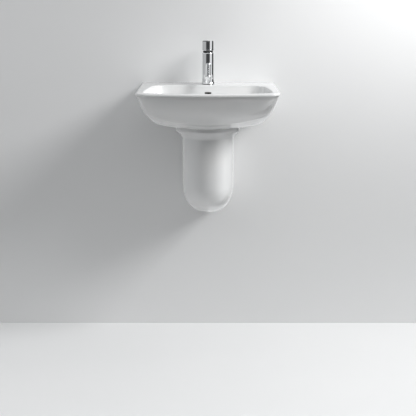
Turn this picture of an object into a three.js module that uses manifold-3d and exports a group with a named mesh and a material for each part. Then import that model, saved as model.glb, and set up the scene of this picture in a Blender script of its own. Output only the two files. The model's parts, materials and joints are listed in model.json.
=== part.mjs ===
// Wall-hung washbasin with a semi pedestal, a single-lever mixer, a click waste and a bottle trap.
// Millimetres, +Z up, +X to the right of someone facing the basin, the wall is the plane y = 0
// and the basin reaches towards -Y. The origin is midway between the two wall bolts, on the wall.
import * as THREE from 'three';
import { mergeVertices } from 'three/addons/utils/BufferGeometryUtils.js';
import Module from 'manifold-3d';

const wasm = await Module();
wasm.setup();

// ---------------------------------------------------------------- driving dimensions

const gap = 0.3;                    // left between pieces that touch

const basin = {
  width: 500,
  depth: 420,
  height: 145,                      // rim to underside
  rimAboveBolts: 80,
  rimThickness: 7,
  rimEdgeRadius: 2,
  rimOverhang: 3,                   // rim slab beyond the body under it
  cornerWidth: 42,                  // front corners of the rim, across the front
  cornerDepth: 62,                  // and along the side
  frontBow: 20,
  wall: 10,
  deck: 12,
  apron: 12,
  hollowDepth: 240,                 // from the wall; the body is solid in front of it
  openingWidth: 188,                // opening under the hollow, inside the pedestal's collar
  openingDepth: 76,
  boltSpacing: 200,
  boltHoleRadius: 7.5,
};

const bowl = {
  sideMargin: 29.5,                 // basin's side to the widest part of the bowl
  frontMargin: 19,
  backEdge: 116,                    // from the wall to the bowl's back edge
  depth: 125,                       // rim to the floor at the waste
  wasteFromWall: 192,
  wasteHoleRadius: 23,
  bossWall: 14,                     // round the waste hole
  edgeRadius: 4,
  overflowRadius: 11.5,
  overflowBelowRim: 34,
};

const duct = { width: 24, thickness: 9, wall: 7, endAboveUnderside: 12 };

const pedestal = {
  width: 187,
  depth: 240,
  wall: 10,
  shaft: 218,                       // collar top to the start of the rounded end
  endHeight: 127,
  collarWidth: 236,
  collarDepth: 257,
  collarHeight: 11,
  flare: 26,                        // height over which the collar narrows to the shaft
  sideStraight: 145,                // from the wall to where the front starts to round
  sealThickness: 1.4,
  sealOuter: 13,                    // beyond the shaft's side
  sealInner: 4,
  lugWidth: 24,
  lugHeight: 30,
  lugThickness: 12,
  lugBelowTop: 150,
  lugRoot: 4,                       // length of the lug inside the shroud's wall
};

const bolt = { radius: 5, reach: 36, washerRadius: 15, washerThickness: 3 };
const nut = { acrossFlats: 17, height: 8, clearance: 0.3 };
const smallBolt = { radius: 4, reach: 32, washerRadius: 9, washerThickness: 2, holeClearance: 1.5 };
const smallNut = { acrossFlats: 13, height: 6.5 };

const tap = {
  fromWall: 60,
  holeRadius: 17.5,
  radius: 20.5,
  bodyTop: 116,                     // above the rim
  edgeRadius: 1.5,
  seatRadius: 15.5,
  seatFloor: 80,
  lowerBoreRadius: 14.5,
  webBottom: 50,
  inletRadius: 3.5,
  tailSpacing: 14,
  tailsBehindAxis: 5,
  studBeforeAxis: 9,
  outletRadius: 4,
  outletBeforeAxis: 7,
  ringRadius: 24,
  ringHeight: 4.5,
  sealThickness: 1.5,
};

const spout = {
  radius: 11.5,
  reach: 99,                        // tap axis to the spout's end
  startHeight: 75,
  endHeight: 29,
  boreRadius: 5.5,
  endRadius: 4,
  nozzleRadius: 10.5,
  nozzleFromEnd: 12,
  nozzleBottom: 11,
};

const aerator = { wall: 1.7, length: 9, proud: 0.6, nozzleWall: 1.4, insertLength: 5, insertInset: 1.5 };

const cartridge = {
  height: 22,
  neckRadius: 10,
  neckHeight: 9,
  neckWall: 2,
  floor: 10,
  rotorFloor: 6,
  stemWidth: 6,
  stemBelowPivot: 9,
  pinRadius: 1.25,
  pivotBelowNeckTop: 3.5,
  nutHeight: 7,
  slack: 0.4,                       // round the pieces that turn
};

const dome = { flange: 3, flangeThickness: 1.7, rise: 3.5, holeRadius: 8.5 };

const handle = {
  height: 35.5,
  lift: 7,                          // open gap between body and cap
  wall: 2.6,
  top: 3,
  edgeRadius: 3,
  leverWidth: 24,
  leverThickness: 5,
  leverReach: 46,                   // beyond the cap
  leverAboveBottom: 2.5,
  hubRadius: 8,
  hubAboveBottom: 3,
  stemGrip: 12,                     // length of the stem inside the hub
  screwRadius: 2.5,
  plugRadius: 3.6,
};

const clamp = { radius: 25, gasket: 2.5, plate: 3 };
const stud = { radius: 4, beyondNut: 6 };
const studNut = { acrossFlats: 13, height: 16 };
const tail = { radius: 5, wall: 1, splay: 45, splayStart: 6, splayHeight: 55, straight: 75 };
const tailNut = { acrossFlats: 19, height: 20, beyond: 2 };

const waste = {
  tubeRadius: 20.9,
  tubeWall: 2.9,
  flangeRadius: 31.5,
  flangeThickness: 2,
  length: 88,                       // flange to the bottom of the tube
  slotWidth: 16,
  slotHeight: 12,
  plugRadius: 28,
  plugThickness: 4,
  plugTravel: 9,
  stemRadius: 4,
  stemLength: 36,
  coreRadius: 9,
  coreHeight: 32,
  coreDrop: 18,                     // flange to the top of the click core
  barHeight: 6,
  barWidth: 5,
  upperSeal: 1.5,
  lowerSeal: 5,
  lowerSealRadius: 31,
  nutAcrossFlats: 58,
  nutHeight: 11,
};

const trap = {
  radius: 28,
  wall: 3,
  bodyHeight: 55,
  neckRadius: 18.5,
  neckLength: 15.5,
  flange: 3.2,
  washer: 2.7,
  nutRadius: 27,
  nutGrip: 19,                      // of the inlet nut on the waste's tube
  nutLip: 3,
  dipRadius: 15.3,
  dipWall: 2.3,
  dipLength: 100,
  cupHeight: 54,
  cupGripHeight: 17,
  cupGripExtra: 2,
  cupSeal: 2,
  outletDrop: 30,                   // body top to the outlet's axis
  branchRadius: 20,
  branchLength: 44,                 // from the trap's axis
  pipeRadius: 16,
  pipeWall: 2,
  pipeInBranch: 12,
  outletNutLength: 19,
  outletNutWall: 3.5,
  outletWasher: 3,
};

// ---------------------------------------------------------------- materials

const finish = (color, roughness, metalness = 0) =>
  () => new THREE.MeshStandardMaterial({ color, roughness, metalness });
const glaze = finish(0xf4f4f2, 0.12);
const chrome = finish(0xc9cbcd, 0.08, 1);
const brass = finish(0xb9954f, 0.35, 1);
const copper = finish(0xb8734a, 0.35, 1);
const steel = finish(0xa9abad, 0.4, 1);
const rubber = finish(0x2a2a2a, 0.8);
const whitePlastic = finish(0xe9e9e6, 0.45);
const greyPlastic = finish(0x8d9093, 0.5);

// ---------------------------------------------------------------- solids and booleans

function solidOf(geometry) {
  const bare = geometry.clone();
  bare.deleteAttribute('normal');
  bare.deleteAttribute('uv');
  const merged = mergeVertices(bare, 1e-4);
  const mesh = new wasm.Mesh({
    numProp: 3,
    vertProperties: new Float32Array(merged.attributes.position.array),
    triVerts: new Uint32Array(merged.index.array),
  });
  return new wasm.Manifold(mesh);
}

function geometryOf(solid) {
  const mesh = solid.getMesh();
  const geometry = new THREE.BufferGeometry();
  geometry.setAttribute('position', new THREE.BufferAttribute(new Float32Array(mesh.vertProperties), 3));
  geometry.setIndex(new THREE.BufferAttribute(new Uint32Array(mesh.triVerts), 1));
  geometry.computeVertexNormals();
  return geometry;
}

const join = (first, ...others) => others.reduce((sum, next) => sum.add(next), first);
const cut = (first, ...others) => others.reduce((rest, next) => rest.subtract(next), first);

// ---------------------------------------------------------------- shapes

// A profile of [radius, z] points turned about the z axis through (x, y).
function turned(profile, segments = 24, x = 0, y = 0) {
  const points = profile.map(([r, z]) => new THREE.Vector2(r, z));
  const geometry = new THREE.LatheGeometry(points, segments);
  geometry.rotateX(Math.PI / 2);
  geometry.translate(x, y, 0);
  return geometry;
}

// A solid disc or cylinder between two heights.
function disc(radius, low, high, segments = 24, x = 0, y = 0) {
  return turned([[0, low], [radius, low], [radius, high], [0, high]], segments, x, y);
}

// A ring with a square section.
function ring(inner, outer, low, high, segments = 24, x = 0, y = 0) {
  const profile = [[inner, low], [outer, low], [outer, high], [inner, high], [inner, low]];
  return turned(profile, segments, x, y);
}

// Turns a shape made along z so that it runs away from the wall, along -y, starting at the wall.
function awayFromWall(geometry, x = 0, z = 0) {
  geometry.rotateX(Math.PI / 2);
  geometry.translate(x, 0, z);
  return geometry;
}

function hexNut(acrossFlats, hole, low, high, x = 0, y = 0, sides = 6, holeSegments = 20) {
  const shape = new THREE.Shape();
  const radius = acrossFlats / 2 / Math.cos(Math.PI / sides);
  for (let k = 0; k < sides; k += 1) {
    const angle = (2 * Math.PI * (k + 0.5)) / sides;
    const place = [radius * Math.cos(angle), radius * Math.sin(angle)];
    if (k === 0) shape.moveTo(...place);
    else shape.lineTo(...place);
  }
  shape.closePath();
  const bore = new THREE.Path();
  bore.absarc(0, 0, hole, 0, 2 * Math.PI, true);
  shape.holes.push(bore);
  const options = { depth: high - low, bevelEnabled: false, curveSegments: holeSegments };
  const geometry = new THREE.ExtrudeGeometry(shape, options);
  geometry.translate(x, y, low);
  return geometry;
}

function box(width, depth, height, x, y, z) {
  const geometry = new THREE.BoxGeometry(width, depth, height);
  geometry.translate(x, y, z);
  return geometry;
}

// A closed side view of [y, z] points, made as thick as width across x.
function across(points, width, x = 0) {
  const shape = new THREE.Shape(points.map(([y, z]) => new THREE.Vector2(y, z)));
  const geometry = new THREE.ExtrudeGeometry(shape, { depth: width, bevelEnabled: false });
  geometry.translate(0, 0, -width / 2);
  geometry.applyMatrix4(new THREE.Matrix4().set(0, 0, 1, x, 1, 0, 0, 0, 0, 1, 0, 0, 0, 0, 0, 1));
  return geometry;
}

// A solid skin over closed rings of equal length, lowest ring first.
function loft(rings) {
  const count = rings[0].length;
  const positions = [];
  const index = [];
  for (const points of rings) {
    for (const [x, y, z] of points) positions.push(x, y, z);
  }
  for (let level = 0; level + 1 < rings.length; level += 1) {
    for (let k = 0; k < count; k += 1) {
      const next = (k + 1) % count;
      const [a, b] = [level * count + k, level * count + next];
      const [c, d] = [a + count, b + count];
      index.push(a, b, d, a, d, c);
    }
  }
  const close = (points, first, upward) => {
    const middle = positions.length / 3;
    const mean = (axis) => points.reduce((sum, point) => sum + point[axis], 0) / count;
    positions.push(mean(0), mean(1), mean(2));
    for (let k = 0; k < count; k += 1) {
      const [a, b] = [first + k, first + ((k + 1) % count)];
      if (upward) index.push(a, b, middle);
      else index.push(b, a, middle);
    }
  };
  close(rings[0], 0, false);
  close(rings[rings.length - 1], (rings.length - 1) * count, true);
  const geometry = new THREE.BufferGeometry();
  geometry.setAttribute('position', new THREE.Float32BufferAttribute(positions, 3));
  geometry.setIndex(index);
  return geometry;
}

const mix = (a, b, t) => a + (b - a) * t;

// Mirrors a half outline that runs from the front centre round the right side to the back centre.
function wholeOutline(half, z) {
  const right = half.map(([x, d]) => [x, -d, z]);
  const left = half.slice(1, -1).reverse().map(([x, d]) => [-x, -d, z]);
  return [...right, ...left];
}

// Half an outline with a bowed front, a soft front corner, a side and a back corner.
// d is the distance from the wall. sideDrop pulls the side in towards the back.
function softSquare({ half, front, back, corner, cornerDepth, bow, sideDrop = 0, backCorner = 4 }) {
  const points = [];
  const start = half - corner;
  const slope = (2 * bow) / start;
  for (let k = 0; k <= 4; k += 1) {
    const x = (start * k) / 4;
    points.push([x, front - bow * (x / start) ** 2]);
  }
  const [ax, ad] = [start, front - bow];
  const [bx, bd] = [half, front - cornerDepth];
  const reach = 0.55;
  const h1 = [ax + reach * corner, ad - slope * reach * corner];
  const h2 = [bx, bd + reach * (cornerDepth - bow)];
  for (let k = 1; k <= 7; k += 1) {
    const t = k / 7;
    const [u, v, w, s] = [(1 - t) ** 3, 3 * t * (1 - t) ** 2, 3 * t * t * (1 - t), t ** 3];
    points.push([u * ax + v * h1[0] + w * h2[0] + s * bx, u * ad + v * h1[1] + w * h2[1] + s * bd]);
  }
  const sideEnd = back + backCorner;
  for (let k = 1; k <= 5; k += 1) {
    const d = mix(bd, sideEnd, k / 5);
    points.push([half - sideDrop * Math.max(0, (bd - d) / (bd - back)) ** 1.6, d]);
  }
  const [cx] = points[points.length - 1];
  for (let k = 1; k <= 4; k += 1) {
    const angle = (Math.PI / 2) * (k / 4);
    points.push([cx - backCorner * (1 - Math.cos(angle)), sideEnd - backCorner * Math.sin(angle)]);
  }
  points.push([points[points.length - 1][0] / 2, back]);
  points.push([0, back]);
  return points;
}

// ---------------------------------------------------------------- levels

const rim = basin.rimAboveBolts;
const below = (depth) => rim - depth;
const underside = below(basin.height);
const bowlFloor = below(bowl.depth);
const tapY = -tap.fromWall;
const wasteY = -bowl.wasteFromWall;

// ---------------------------------------------------------------- basin

const ringAt = (outline, depth) => wholeOutline(softSquare(outline), below(depth));

// Outside of the body: shares of the height below the rim slab, and of the slab's size.
const bodyLevels = [
  { t: 1.0, half: 0.518, front: 0.645, corner: 0.72 },
  { t: 0.965, half: 0.636, front: 0.658, corner: 0.66 },
  { t: 0.9, half: 0.739, front: 0.686, corner: 0.57 },
  { t: 0.82, half: 0.806, front: 0.725, corner: 0.49 },
  { t: 0.72, half: 0.849, front: 0.782, corner: 0.43 },
  { t: 0.58, half: 0.892, front: 0.853, corner: 0.365 },
  { t: 0.42, half: 0.929, front: 0.915, corner: 0.31 },
  { t: 0.26, half: 0.957, front: 0.958, corner: 0.27 },
  { t: 0.12, half: 0.981, front: 0.985, corner: 0.25 },
  { t: 0.0, half: 1.0, front: 1.0, corner: 0.24 },
];

function bodyOutline(level, inset, back) {
  const half = (basin.width / 2 - basin.rimOverhang) * level.half - inset;
  const front = (basin.depth - basin.rimOverhang) * level.front - inset;
  const corner = half * level.corner;
  return { half, front, back, corner, cornerDepth: corner * 1.25, bow: basin.frontBow * level.front };
}

function bodyLoft(inset, back, top, bottom) {
  const bodyHeight = basin.height - basin.rimThickness;
  const depthOf = (t) => basin.rimThickness + bodyHeight * t;
  const rings = bodyLevels
    .map((level) => ({ level, depth: Math.min(Math.max(depthOf(level.t), top), bottom) }))
    .filter(({ depth }, k, all) => k === 0 || depth < all[k - 1].depth - 0.01)
    .map(({ level, depth }) => ringAt(bodyOutline(level, inset, back), depth));
  return loft(rings);
}

function rimOutline(inset) {
  const half = basin.width / 2 - inset;
  const front = basin.depth - inset;
  const corner = basin.cornerWidth - inset;
  return { half, front, back: 0, corner, cornerDepth: basin.cornerDepth - inset, bow: basin.frontBow };
}

function rimLoft() {
  const r = basin.rimEdgeRadius;
  const thick = basin.rimThickness;
  const inside = basin.rimOverhang + 20;
  return loft([
    ringAt(rimOutline(inside), thick + 1),
    ringAt(rimOutline(inside - 1), thick),
    ringAt(rimOutline(r), thick),
    ringAt(rimOutline(0.3 * r), thick - 0.3 * r),
    ringAt(rimOutline(0), thick - r),
    ringAt(rimOutline(0), r),
    ringAt(rimOutline(0.3 * r), 0.3 * r),
    ringAt(rimOutline(r), 0),
  ]);
}

// Inside of the bowl, from its floor up. The outlines are drawn for one bowl and stretched from it.
const drawnBowl = { half: 220.5, front: 401, backEdge: 116 };

const bowlLevel = (t, half, front, back, corner, cornerDepth, bow, sideDrop, backCorner) =>
  ({ t, half, front, back, corner, cornerDepth, bow, sideDrop, backCorner });

// Share of the bowl's depth, then the outline at that level.
const bowlLevels = [
  bowlLevel(1.0, 36, 228, 156, 21, 36, 3, 0, 34),
  bowlLevel(0.94, 108, 270, 156, 70, 84, 12, 18, 30),
  bowlLevel(0.82, 155, 312, 148, 98, 120, 16, 30, 28),
  bowlLevel(0.65, 187, 347, 141, 98, 122, 18, 38, 26),
  bowlLevel(0.43, 208, 377, 134, 84, 104, 18, 44, 26),
  bowlLevel(0.2, 218, 395, 125, 62, 78, 18, 47, 26),
  bowlLevel(0.0, drawnBowl.half, drawnBowl.front, drawnBowl.backEdge, 42, 54, 18, 48, 26),
];

function bowlOutline(level, outset) {
  const widening = (basin.width / 2 - bowl.sideMargin) / drawnBowl.half;
  const frontShift = basin.depth - bowl.frontMargin - drawnBowl.front;
  const backShift = bowl.backEdge - drawnBowl.backEdge;
  const half = level.half * widening + outset;
  const front = level.front + frontShift * (1 - level.t) + outset;
  const back = level.back + backShift * (1 - level.t) - outset;
  return { ...level, half, front, back };
}

function bowlLoft(outset, lower) {
  const depthOf = (t) => bowl.depth * t + lower;
  const rings = bowlLevels.map((level) => ringAt(bowlOutline(level, outset), depthOf(level.t)));
  const top = bowlLevels[bowlLevels.length - 1];
  if (outset === 0) {
    const r = bowl.edgeRadius;
    rings[rings.length - 1] = ringAt(bowlOutline(top, 0), r);
    rings.push(ringAt(bowlOutline(top, 0.3 * r), 0.3 * r));
    rings.push(ringAt(bowlOutline(top, r), 0));
    rings.push(ringAt(bowlOutline(top, r + 0.6), -1));
  } else {
    rings.push(ringAt(bowlOutline(top, outset), 0));
  }
  return loft(rings);
}

// Middle line of the overflow's duct down the back of the bowl: each point's distance in front of
// the bowl's back edge, and its depth below the overflow's centre.
const ductLine = [[18, 0], [-10, 2], [-1, 34], [18, 66]];

// The side view of a strip that follows the duct, as wide as thickness.
function ductSide(thickness, reachIn) {
  const end = bowl.wasteFromWall - bowl.wasteHoleRadius + reachIn;
  const endDepth = basin.height - duct.endAboveUnderside;
  const line = [
    ...ductLine.map(([front, depth]) => [bowl.backEdge + front, bowl.overflowBelowRim + depth]),
    [bowl.wasteFromWall - 30, endDepth - 1],
    [end, endDepth],
  ];
  const [one, two] = [[], []];
  for (let k = 0; k < line.length; k += 1) {
    const [p, q] = [line[Math.max(k - 1, 0)], line[Math.min(k + 1, line.length - 1)]];
    const length = Math.hypot(q[0] - p[0], q[1] - p[1]);
    const [nx, nz] = [-(q[1] - p[1]) / length, (q[0] - p[0]) / length];
    const half = thickness / 2;
    one.push([-(line[k][0] + nx * half), below(line[k][1] + nz * half)]);
    two.push([-(line[k][0] - nx * half), below(line[k][1] - nz * half)]);
  }
  return [...one, ...two.reverse()];
}

function makeBasin() {
  const outside = join(solidOf(bodyLoft(0, 0, basin.rimThickness, basin.height)), solidOf(rimLoft()));
  const bowlSpace = solidOf(bowlLoft(0, 0));
  const skin = basin.wall;
  const inside = solidOf(bodyLoft(skin, basin.apron, basin.deck, basin.height - skin));
  const bowlSkin = solidOf(bowlLoft(skin, skin + 2));
  const reach = basin.hollowDepth;
  const reachOfHollow = solidOf(box(basin.width, reach, basin.height * 2, 0, -reach / 2, underside));
  const openingMiddle = -(basin.apron + basin.openingDepth / 2);
  const openingSize = [basin.openingWidth, basin.openingDepth, 3 * skin];
  const bottomOpening = solidOf(box(...openingSize, 0, openingMiddle, underside));
  const bossRadius = bowl.wasteHoleRadius + bowl.bossWall;
  const boss = solidOf(disc(bossRadius, underside, below(bowl.depth - 4), 32, 0, wasteY));
  const rib = solidOf(across(ductSide(duct.thickness + 2 * duct.wall, 0), duct.width + 2 * duct.wall));
  const keptRib = rib.intersect(outside);
  const hollow = cut(inside.intersect(reachOfHollow).add(bottomOpening), bowlSkin, boss, keptRib);
  const channel = solidOf(across(ductSide(duct.thickness, 4), duct.width));
  const overflow = disc(bowl.overflowRadius, 0, 30, 28);
  overflow.rotateX(-Math.PI / 2);
  overflow.translate(0, -(bowl.backEdge + 24), below(bowl.overflowBelowRim));
  const wasteHole = disc(bowl.wasteHoleRadius, underside - 5, bowlFloor + 5, 32, 0, wasteY);
  const tapHole = disc(tap.holeRadius, rim - basin.deck - 5, rim + 5, 32, 0, tapY);
  const boltHole = (side) => {
    const shape = disc(basin.boltHoleRadius, -5, basin.apron + 5, 20);
    return solidOf(awayFromWall(shape, (side * basin.boltSpacing) / 2));
  };
  return cut(
    outside, bowlSpace, hollow, channel, solidOf(overflow), solidOf(wasteHole), solidOf(tapHole),
    boltHole(-1), boltHole(1),
  );
}

// ---------------------------------------------------------------- pedestal

const pedestalTop = underside - pedestal.sealThickness - 2 * gap;
const shaftEnd = pedestalTop - pedestal.shaft;

// Half an outline with a round front and straight sides back to the wall.
function shroudOutline(half, front, straight, back) {
  const points = [];
  for (let k = 0; k <= 9; k += 1) {
    const angle = (Math.PI / 2) * (k / 9);
    points.push([half * Math.sin(angle), straight + (front - straight) * Math.cos(angle)]);
  }
  points.push([half, mix(straight, back, 0.5)]);
  points.push([half, back]);
  points.push([0, back]);
  return points;
}

// Heights and sizes of the shroud from its rounded end up to the collar.
function shroudRings(inset, back, open) {
  const rings = [];
  const endSteps = 7;
  const endHeight = pedestal.endHeight - inset;
  const shaftHalf = pedestal.width / 2 - inset;
  const shaftFront = pedestal.depth - inset;
  const at = (half, front, share, z) => {
    const straight = pedestal.sideStraight * share;
    rings.push(wholeOutline(shroudOutline(half, front, straight, back), z));
  };
  for (let k = endSteps; k >= 0; k -= 1) {
    const angle = (Math.PI / 2) * (k / endSteps) * 0.95;
    const scale = Math.cos(angle);
    at(shaftHalf * scale, shaftFront * scale, scale, shaftEnd - endHeight * Math.sin(angle));
  }
  const lip = pedestalTop - pedestal.collarHeight;
  const extraHalf = (pedestal.collarWidth - pedestal.width) / 2;
  const extraFront = pedestal.collarDepth - pedestal.depth;
  const flare = (share, z) => at(shaftHalf + extraHalf * share, shaftFront + extraFront * share, 1, z);
  flare(0, lip - pedestal.flare);
  flare(0.1, lip - pedestal.flare * 0.66);
  flare(0.3, lip - pedestal.flare * 0.38);
  if (inset > 0) {
    flare(0.52, lip);
    flare(0.5, pedestalTop + (open ? 5 : 0));
  } else {
    flare(0.6, lip - pedestal.flare * 0.17);
    flare(0.86, lip - pedestal.flare * 0.05);
    flare(1, lip + pedestal.collarHeight * 0.15);
    flare(0.95, lip + pedestal.collarHeight * 0.5);
    flare(0.82, lip + pedestal.collarHeight * 0.82);
    flare(0.62, pedestalTop);
  }
  return rings;
}

const lugZ = pedestalTop - pedestal.lugBelowTop;
const lugInnerFace = pedestal.width / 2 - pedestal.wall;
const lugBoltX = lugInnerFace - pedestal.lugWidth / 2 + 1;

function makePedestal() {
  const outside = solidOf(loft(shroudRings(0, 0, false)));
  const inside = solidOf(loft(shroudRings(pedestal.wall, -20, true)));
  const lug = (side) => {
    const width = pedestal.lugWidth + pedestal.lugRoot;
    const x = side * (lugInnerFace + pedestal.lugRoot - width / 2);
    const y = -pedestal.lugThickness / 2;
    return solidOf(box(width, pedestal.lugThickness, pedestal.lugHeight, x, y, lugZ));
  };
  const hole = (side) => {
    const shape = disc(smallBolt.radius + smallBolt.holeClearance, -5, pedestal.lugThickness + 5, 16);
    return solidOf(awayFromWall(shape, side * lugBoltX, lugZ));
  };
  return cut(join(cut(outside, inside), lug(-1), lug(1)), hole(-1), hole(1));
}

function makePedestalSeal() {
  const front = pedestal.depth - 5;
  const plate = (extra, back, low, high) => {
    const outline = shroudOutline(pedestal.width / 2 + extra, front + extra, pedestal.sideStraight, back);
    return solidOf(loft([wholeOutline(outline, low), wholeOutline(outline, high)]));
  };
  const [low, high] = [pedestalTop + gap, underside - gap];
  const whole = plate(pedestal.sealOuter, 6, low, high);
  return cut(whole, plate(pedestal.sealInner, -5, low - 1, high + 1));
}

// ---------------------------------------------------------------- bolts

function wallBolt(radius, reach) {
  const chamfer = 1;
  const profile = [[0, 0], [radius, 0], [radius, reach - chamfer], [radius - chamfer, reach], [0, reach]];
  return awayFromWall(turned(profile, 16));
}

function fixing(size, hex, wallThickness, name, x, z) {
  const start = wallThickness + gap;
  const washerEnd = start + size.washerThickness;
  const nutStart = washerEnd + gap;
  const hole = size.radius + nut.clearance;
  const washer = awayFromWall(ring(hole, size.washerRadius, start, washerEnd, 20));
  const hexagon = hexNut(hex.acrossFlats, hole, nutStart, nutStart + hex.height, 0, 0, 6, 8);
  return [
    [`${name}_bolt`, wallBolt(size.radius, size.reach), steel, x, z],
    [`${name}_washer`, washer, whitePlastic, x, z],
    [`${name}_nut`, awayFromWall(hexagon), steel, x, z],
  ];
}

// ---------------------------------------------------------------- tap

const ringLow = rim + gap + tap.sealThickness + gap;
const bodyFoot = ringLow + tap.ringHeight + gap;
const bodyTop = rim + tap.bodyTop;
const webLow = rim + tap.webBottom;
const seatTop = rim + tap.seatFloor;
const atTap = [0, tapY, 0];

// A straight round bar or bore between two places in the plane x = 0.
function link(radius, y0, z0, y1, z1, segments = 24, round = 0) {
  const length = Math.hypot(y1 - y0, z1 - z0);
  const profile = [[0, 0], [radius, 0]];
  if (round > 0) {
    for (let k = 0; k <= 3; k += 1) {
      const angle = (Math.PI / 2) * (k / 3);
      profile.push([radius - round * (1 - Math.cos(angle)), length - round + round * Math.sin(angle)]);
    }
  } else {
    profile.push([radius, length]);
  }
  profile.push([0, length]);
  const geometry = turned(profile, segments);
  const direction = new THREE.Vector3(0, y1 - y0, z1 - z0).normalize();
  const turn = new THREE.Quaternion().setFromUnitVectors(new THREE.Vector3(0, 0, 1), direction);
  geometry.applyQuaternion(turn);
  geometry.translate(0, y0, z0);
  return geometry;
}

// Height of the spout's axis at a distance in front of the tap's axis.
const spoutZ = (reach) => rim + mix(spout.startHeight, spout.endHeight, reach / spout.reach);
const nozzleReach = spout.reach - spout.nozzleFromEnd;
const nozzleLow = rim + spout.nozzleBottom;
const pocketRadius = spout.nozzleRadius - aerator.nozzleWall;

function makeTapBody() {
  const r = tap.edgeRadius;
  const side = tap.radius;
  const corner = [[side, bodyTop - r], [side - 0.3 * r, bodyTop - 0.3 * r], [side - r, bodyTop]];
  const column = turned([[0, bodyFoot], [side, bodyFoot], ...corner, [0, bodyTop]], 32, 0, tapY);
  const endY = tapY - spout.reach;
  const neck = link(spout.radius, tapY, spoutZ(0), endY, spoutZ(spout.reach), 28, spout.endRadius);
  const nozzleY = tapY - nozzleReach;
  const nozzle = disc(spout.nozzleRadius, nozzleLow, spoutZ(nozzleReach), 28, 0, nozzleY);
  const seat = disc(tap.seatRadius, seatTop, bodyTop + 5, 32, 0, tapY);
  const lowerBore = disc(tap.lowerBoreRadius, bodyFoot - 5, webLow, 24, 0, tapY);
  const inletY = tapY + tap.tailsBehindAxis;
  const inlet = (x) => solidOf(disc(tap.inletRadius, webLow - 2, seatTop + 2, 12, x, inletY));
  const inletX = tap.tailSpacing / 2;
  const outletY = tapY - tap.outletBeforeAxis;
  const outletZ = spoutZ(tap.outletBeforeAxis);
  const outlet = disc(tap.outletRadius, outletZ, seatTop + 2, 12, 0, outletY);
  const waterway = link(spout.boreRadius, outletY, outletZ, nozzleY, spoutZ(nozzleReach), 16);
  const pocket = disc(pocketRadius, nozzleLow - 5, nozzleLow + aerator.length + gap, 24, 0, nozzleY);
  const throat = disc(spout.boreRadius, nozzleLow + aerator.length, spoutZ(nozzleReach), 16, 0, nozzleY);
  return cut(
    join(solidOf(column), solidOf(neck), solidOf(nozzle)),
    solidOf(seat), solidOf(lowerBore), inlet(-inletX), inlet(inletX), solidOf(outlet), solidOf(waterway),
    solidOf(pocket), solidOf(throat),
  );
}

function makeBaseRing() {
  const [r, low, high] = [tap.ringRadius, ringLow, ringLow + tap.ringHeight];
  const inner = tap.lowerBoreRadius;
  const profile = [[inner, low], [r, low], [r, high - 1.2], [r - 1.2, high], [inner, high], [inner, low]];
  return turned(profile, 32);
}

const makeBaseSeal = () => {
  const low = rim + gap;
  return ring(tap.lowerBoreRadius + 1, tap.ringRadius - 2, low, low + tap.sealThickness, 24);
};

function makeAeratorShell() {
  const outer = pocketRadius - gap;
  return ring(outer - aerator.wall, outer, nozzleLow - aerator.proud, nozzleLow + aerator.length - gap, 24);
}

function makeAeratorInsert() {
  const radius = pocketRadius - gap - aerator.wall - gap;
  const low = nozzleLow + aerator.insertInset;
  return disc(radius, low, low + aerator.insertLength, 20);
}

// ---------------------------------------------------------------- cartridge and handle

const cartridgeLow = seatTop + gap;
const shoulder = cartridgeLow + cartridge.height;
const neckTop = shoulder + gap + cartridge.neckHeight;
const pivotZ = neckTop - cartridge.pivotBelowNeckTop;
const rotorRadius = cartridge.neckRadius - cartridge.neckWall - cartridge.slack;
const rotorLow = cartridgeLow + cartridge.floor + gap;
const capLow = bodyTop + handle.lift;
const capTop = capLow + handle.height;
const hubLow = capLow + handle.hubAboveBottom;
const stemTop = hubLow + handle.stemGrip;
const screwZ = hubLow + handle.stemGrip / 2;

function makeCartridgeBody() {
  const radius = tap.seatRadius - gap;
  const neck = cartridge.neckRadius;
  const profile = [
    [0, cartridgeLow], [radius, cartridgeLow], [radius, shoulder], [neck, shoulder], [neck, neckTop],
    [0, neckTop],
  ];
  const bore = disc(neck - cartridge.neckWall, cartridgeLow + cartridge.floor, neckTop + 1, 24);
  return cut(solidOf(turned(profile, 28)), solidOf(bore));
}

function makeCartridgeRotor() {
  const high = neckTop - gap;
  const slotLow = pivotZ - cartridge.stemBelowPivot - 2;
  const slot = box(cartridge.stemWidth + 2 * gap, 3 * rotorRadius, high, 0, 0, slotLow + high / 2);
  const hole = disc(cartridge.pinRadius + gap, -rotorRadius * 1.5, rotorRadius * 1.5, 12);
  hole.rotateY(Math.PI / 2);
  hole.translate(0, 0, pivotZ);
  return cut(solidOf(disc(rotorRadius, rotorLow, high, 24)), solidOf(slot), solidOf(hole));
}

function makeStemPin() {
  const half = rotorRadius - 0.6;
  const pin = disc(cartridge.pinRadius, -half, half, 12);
  pin.rotateY(Math.PI / 2);
  pin.translate(0, 0, pivotZ);
  return pin;
}

function makeCartridgeStem() {
  const low = pivotZ - cartridge.stemBelowPivot;
  const width = cartridge.stemWidth;
  const shaft = box(width, width, stemTop - low, 0, 0, (stemTop + low) / 2);
  const hole = disc(cartridge.pinRadius + gap, -width, width, 12);
  hole.rotateY(Math.PI / 2);
  hole.translate(0, 0, pivotZ);
  return cut(solidOf(shaft), solidOf(hole));
}

const makeCartridgeNut = () => {
  const low = shoulder + gap;
  const acrossFlats = 1.8 * (tap.seatRadius - gap);
  return hexNut(acrossFlats, cartridge.neckRadius + gap, low, low + cartridge.nutHeight, 0, 0, 12, 12);
};

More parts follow.
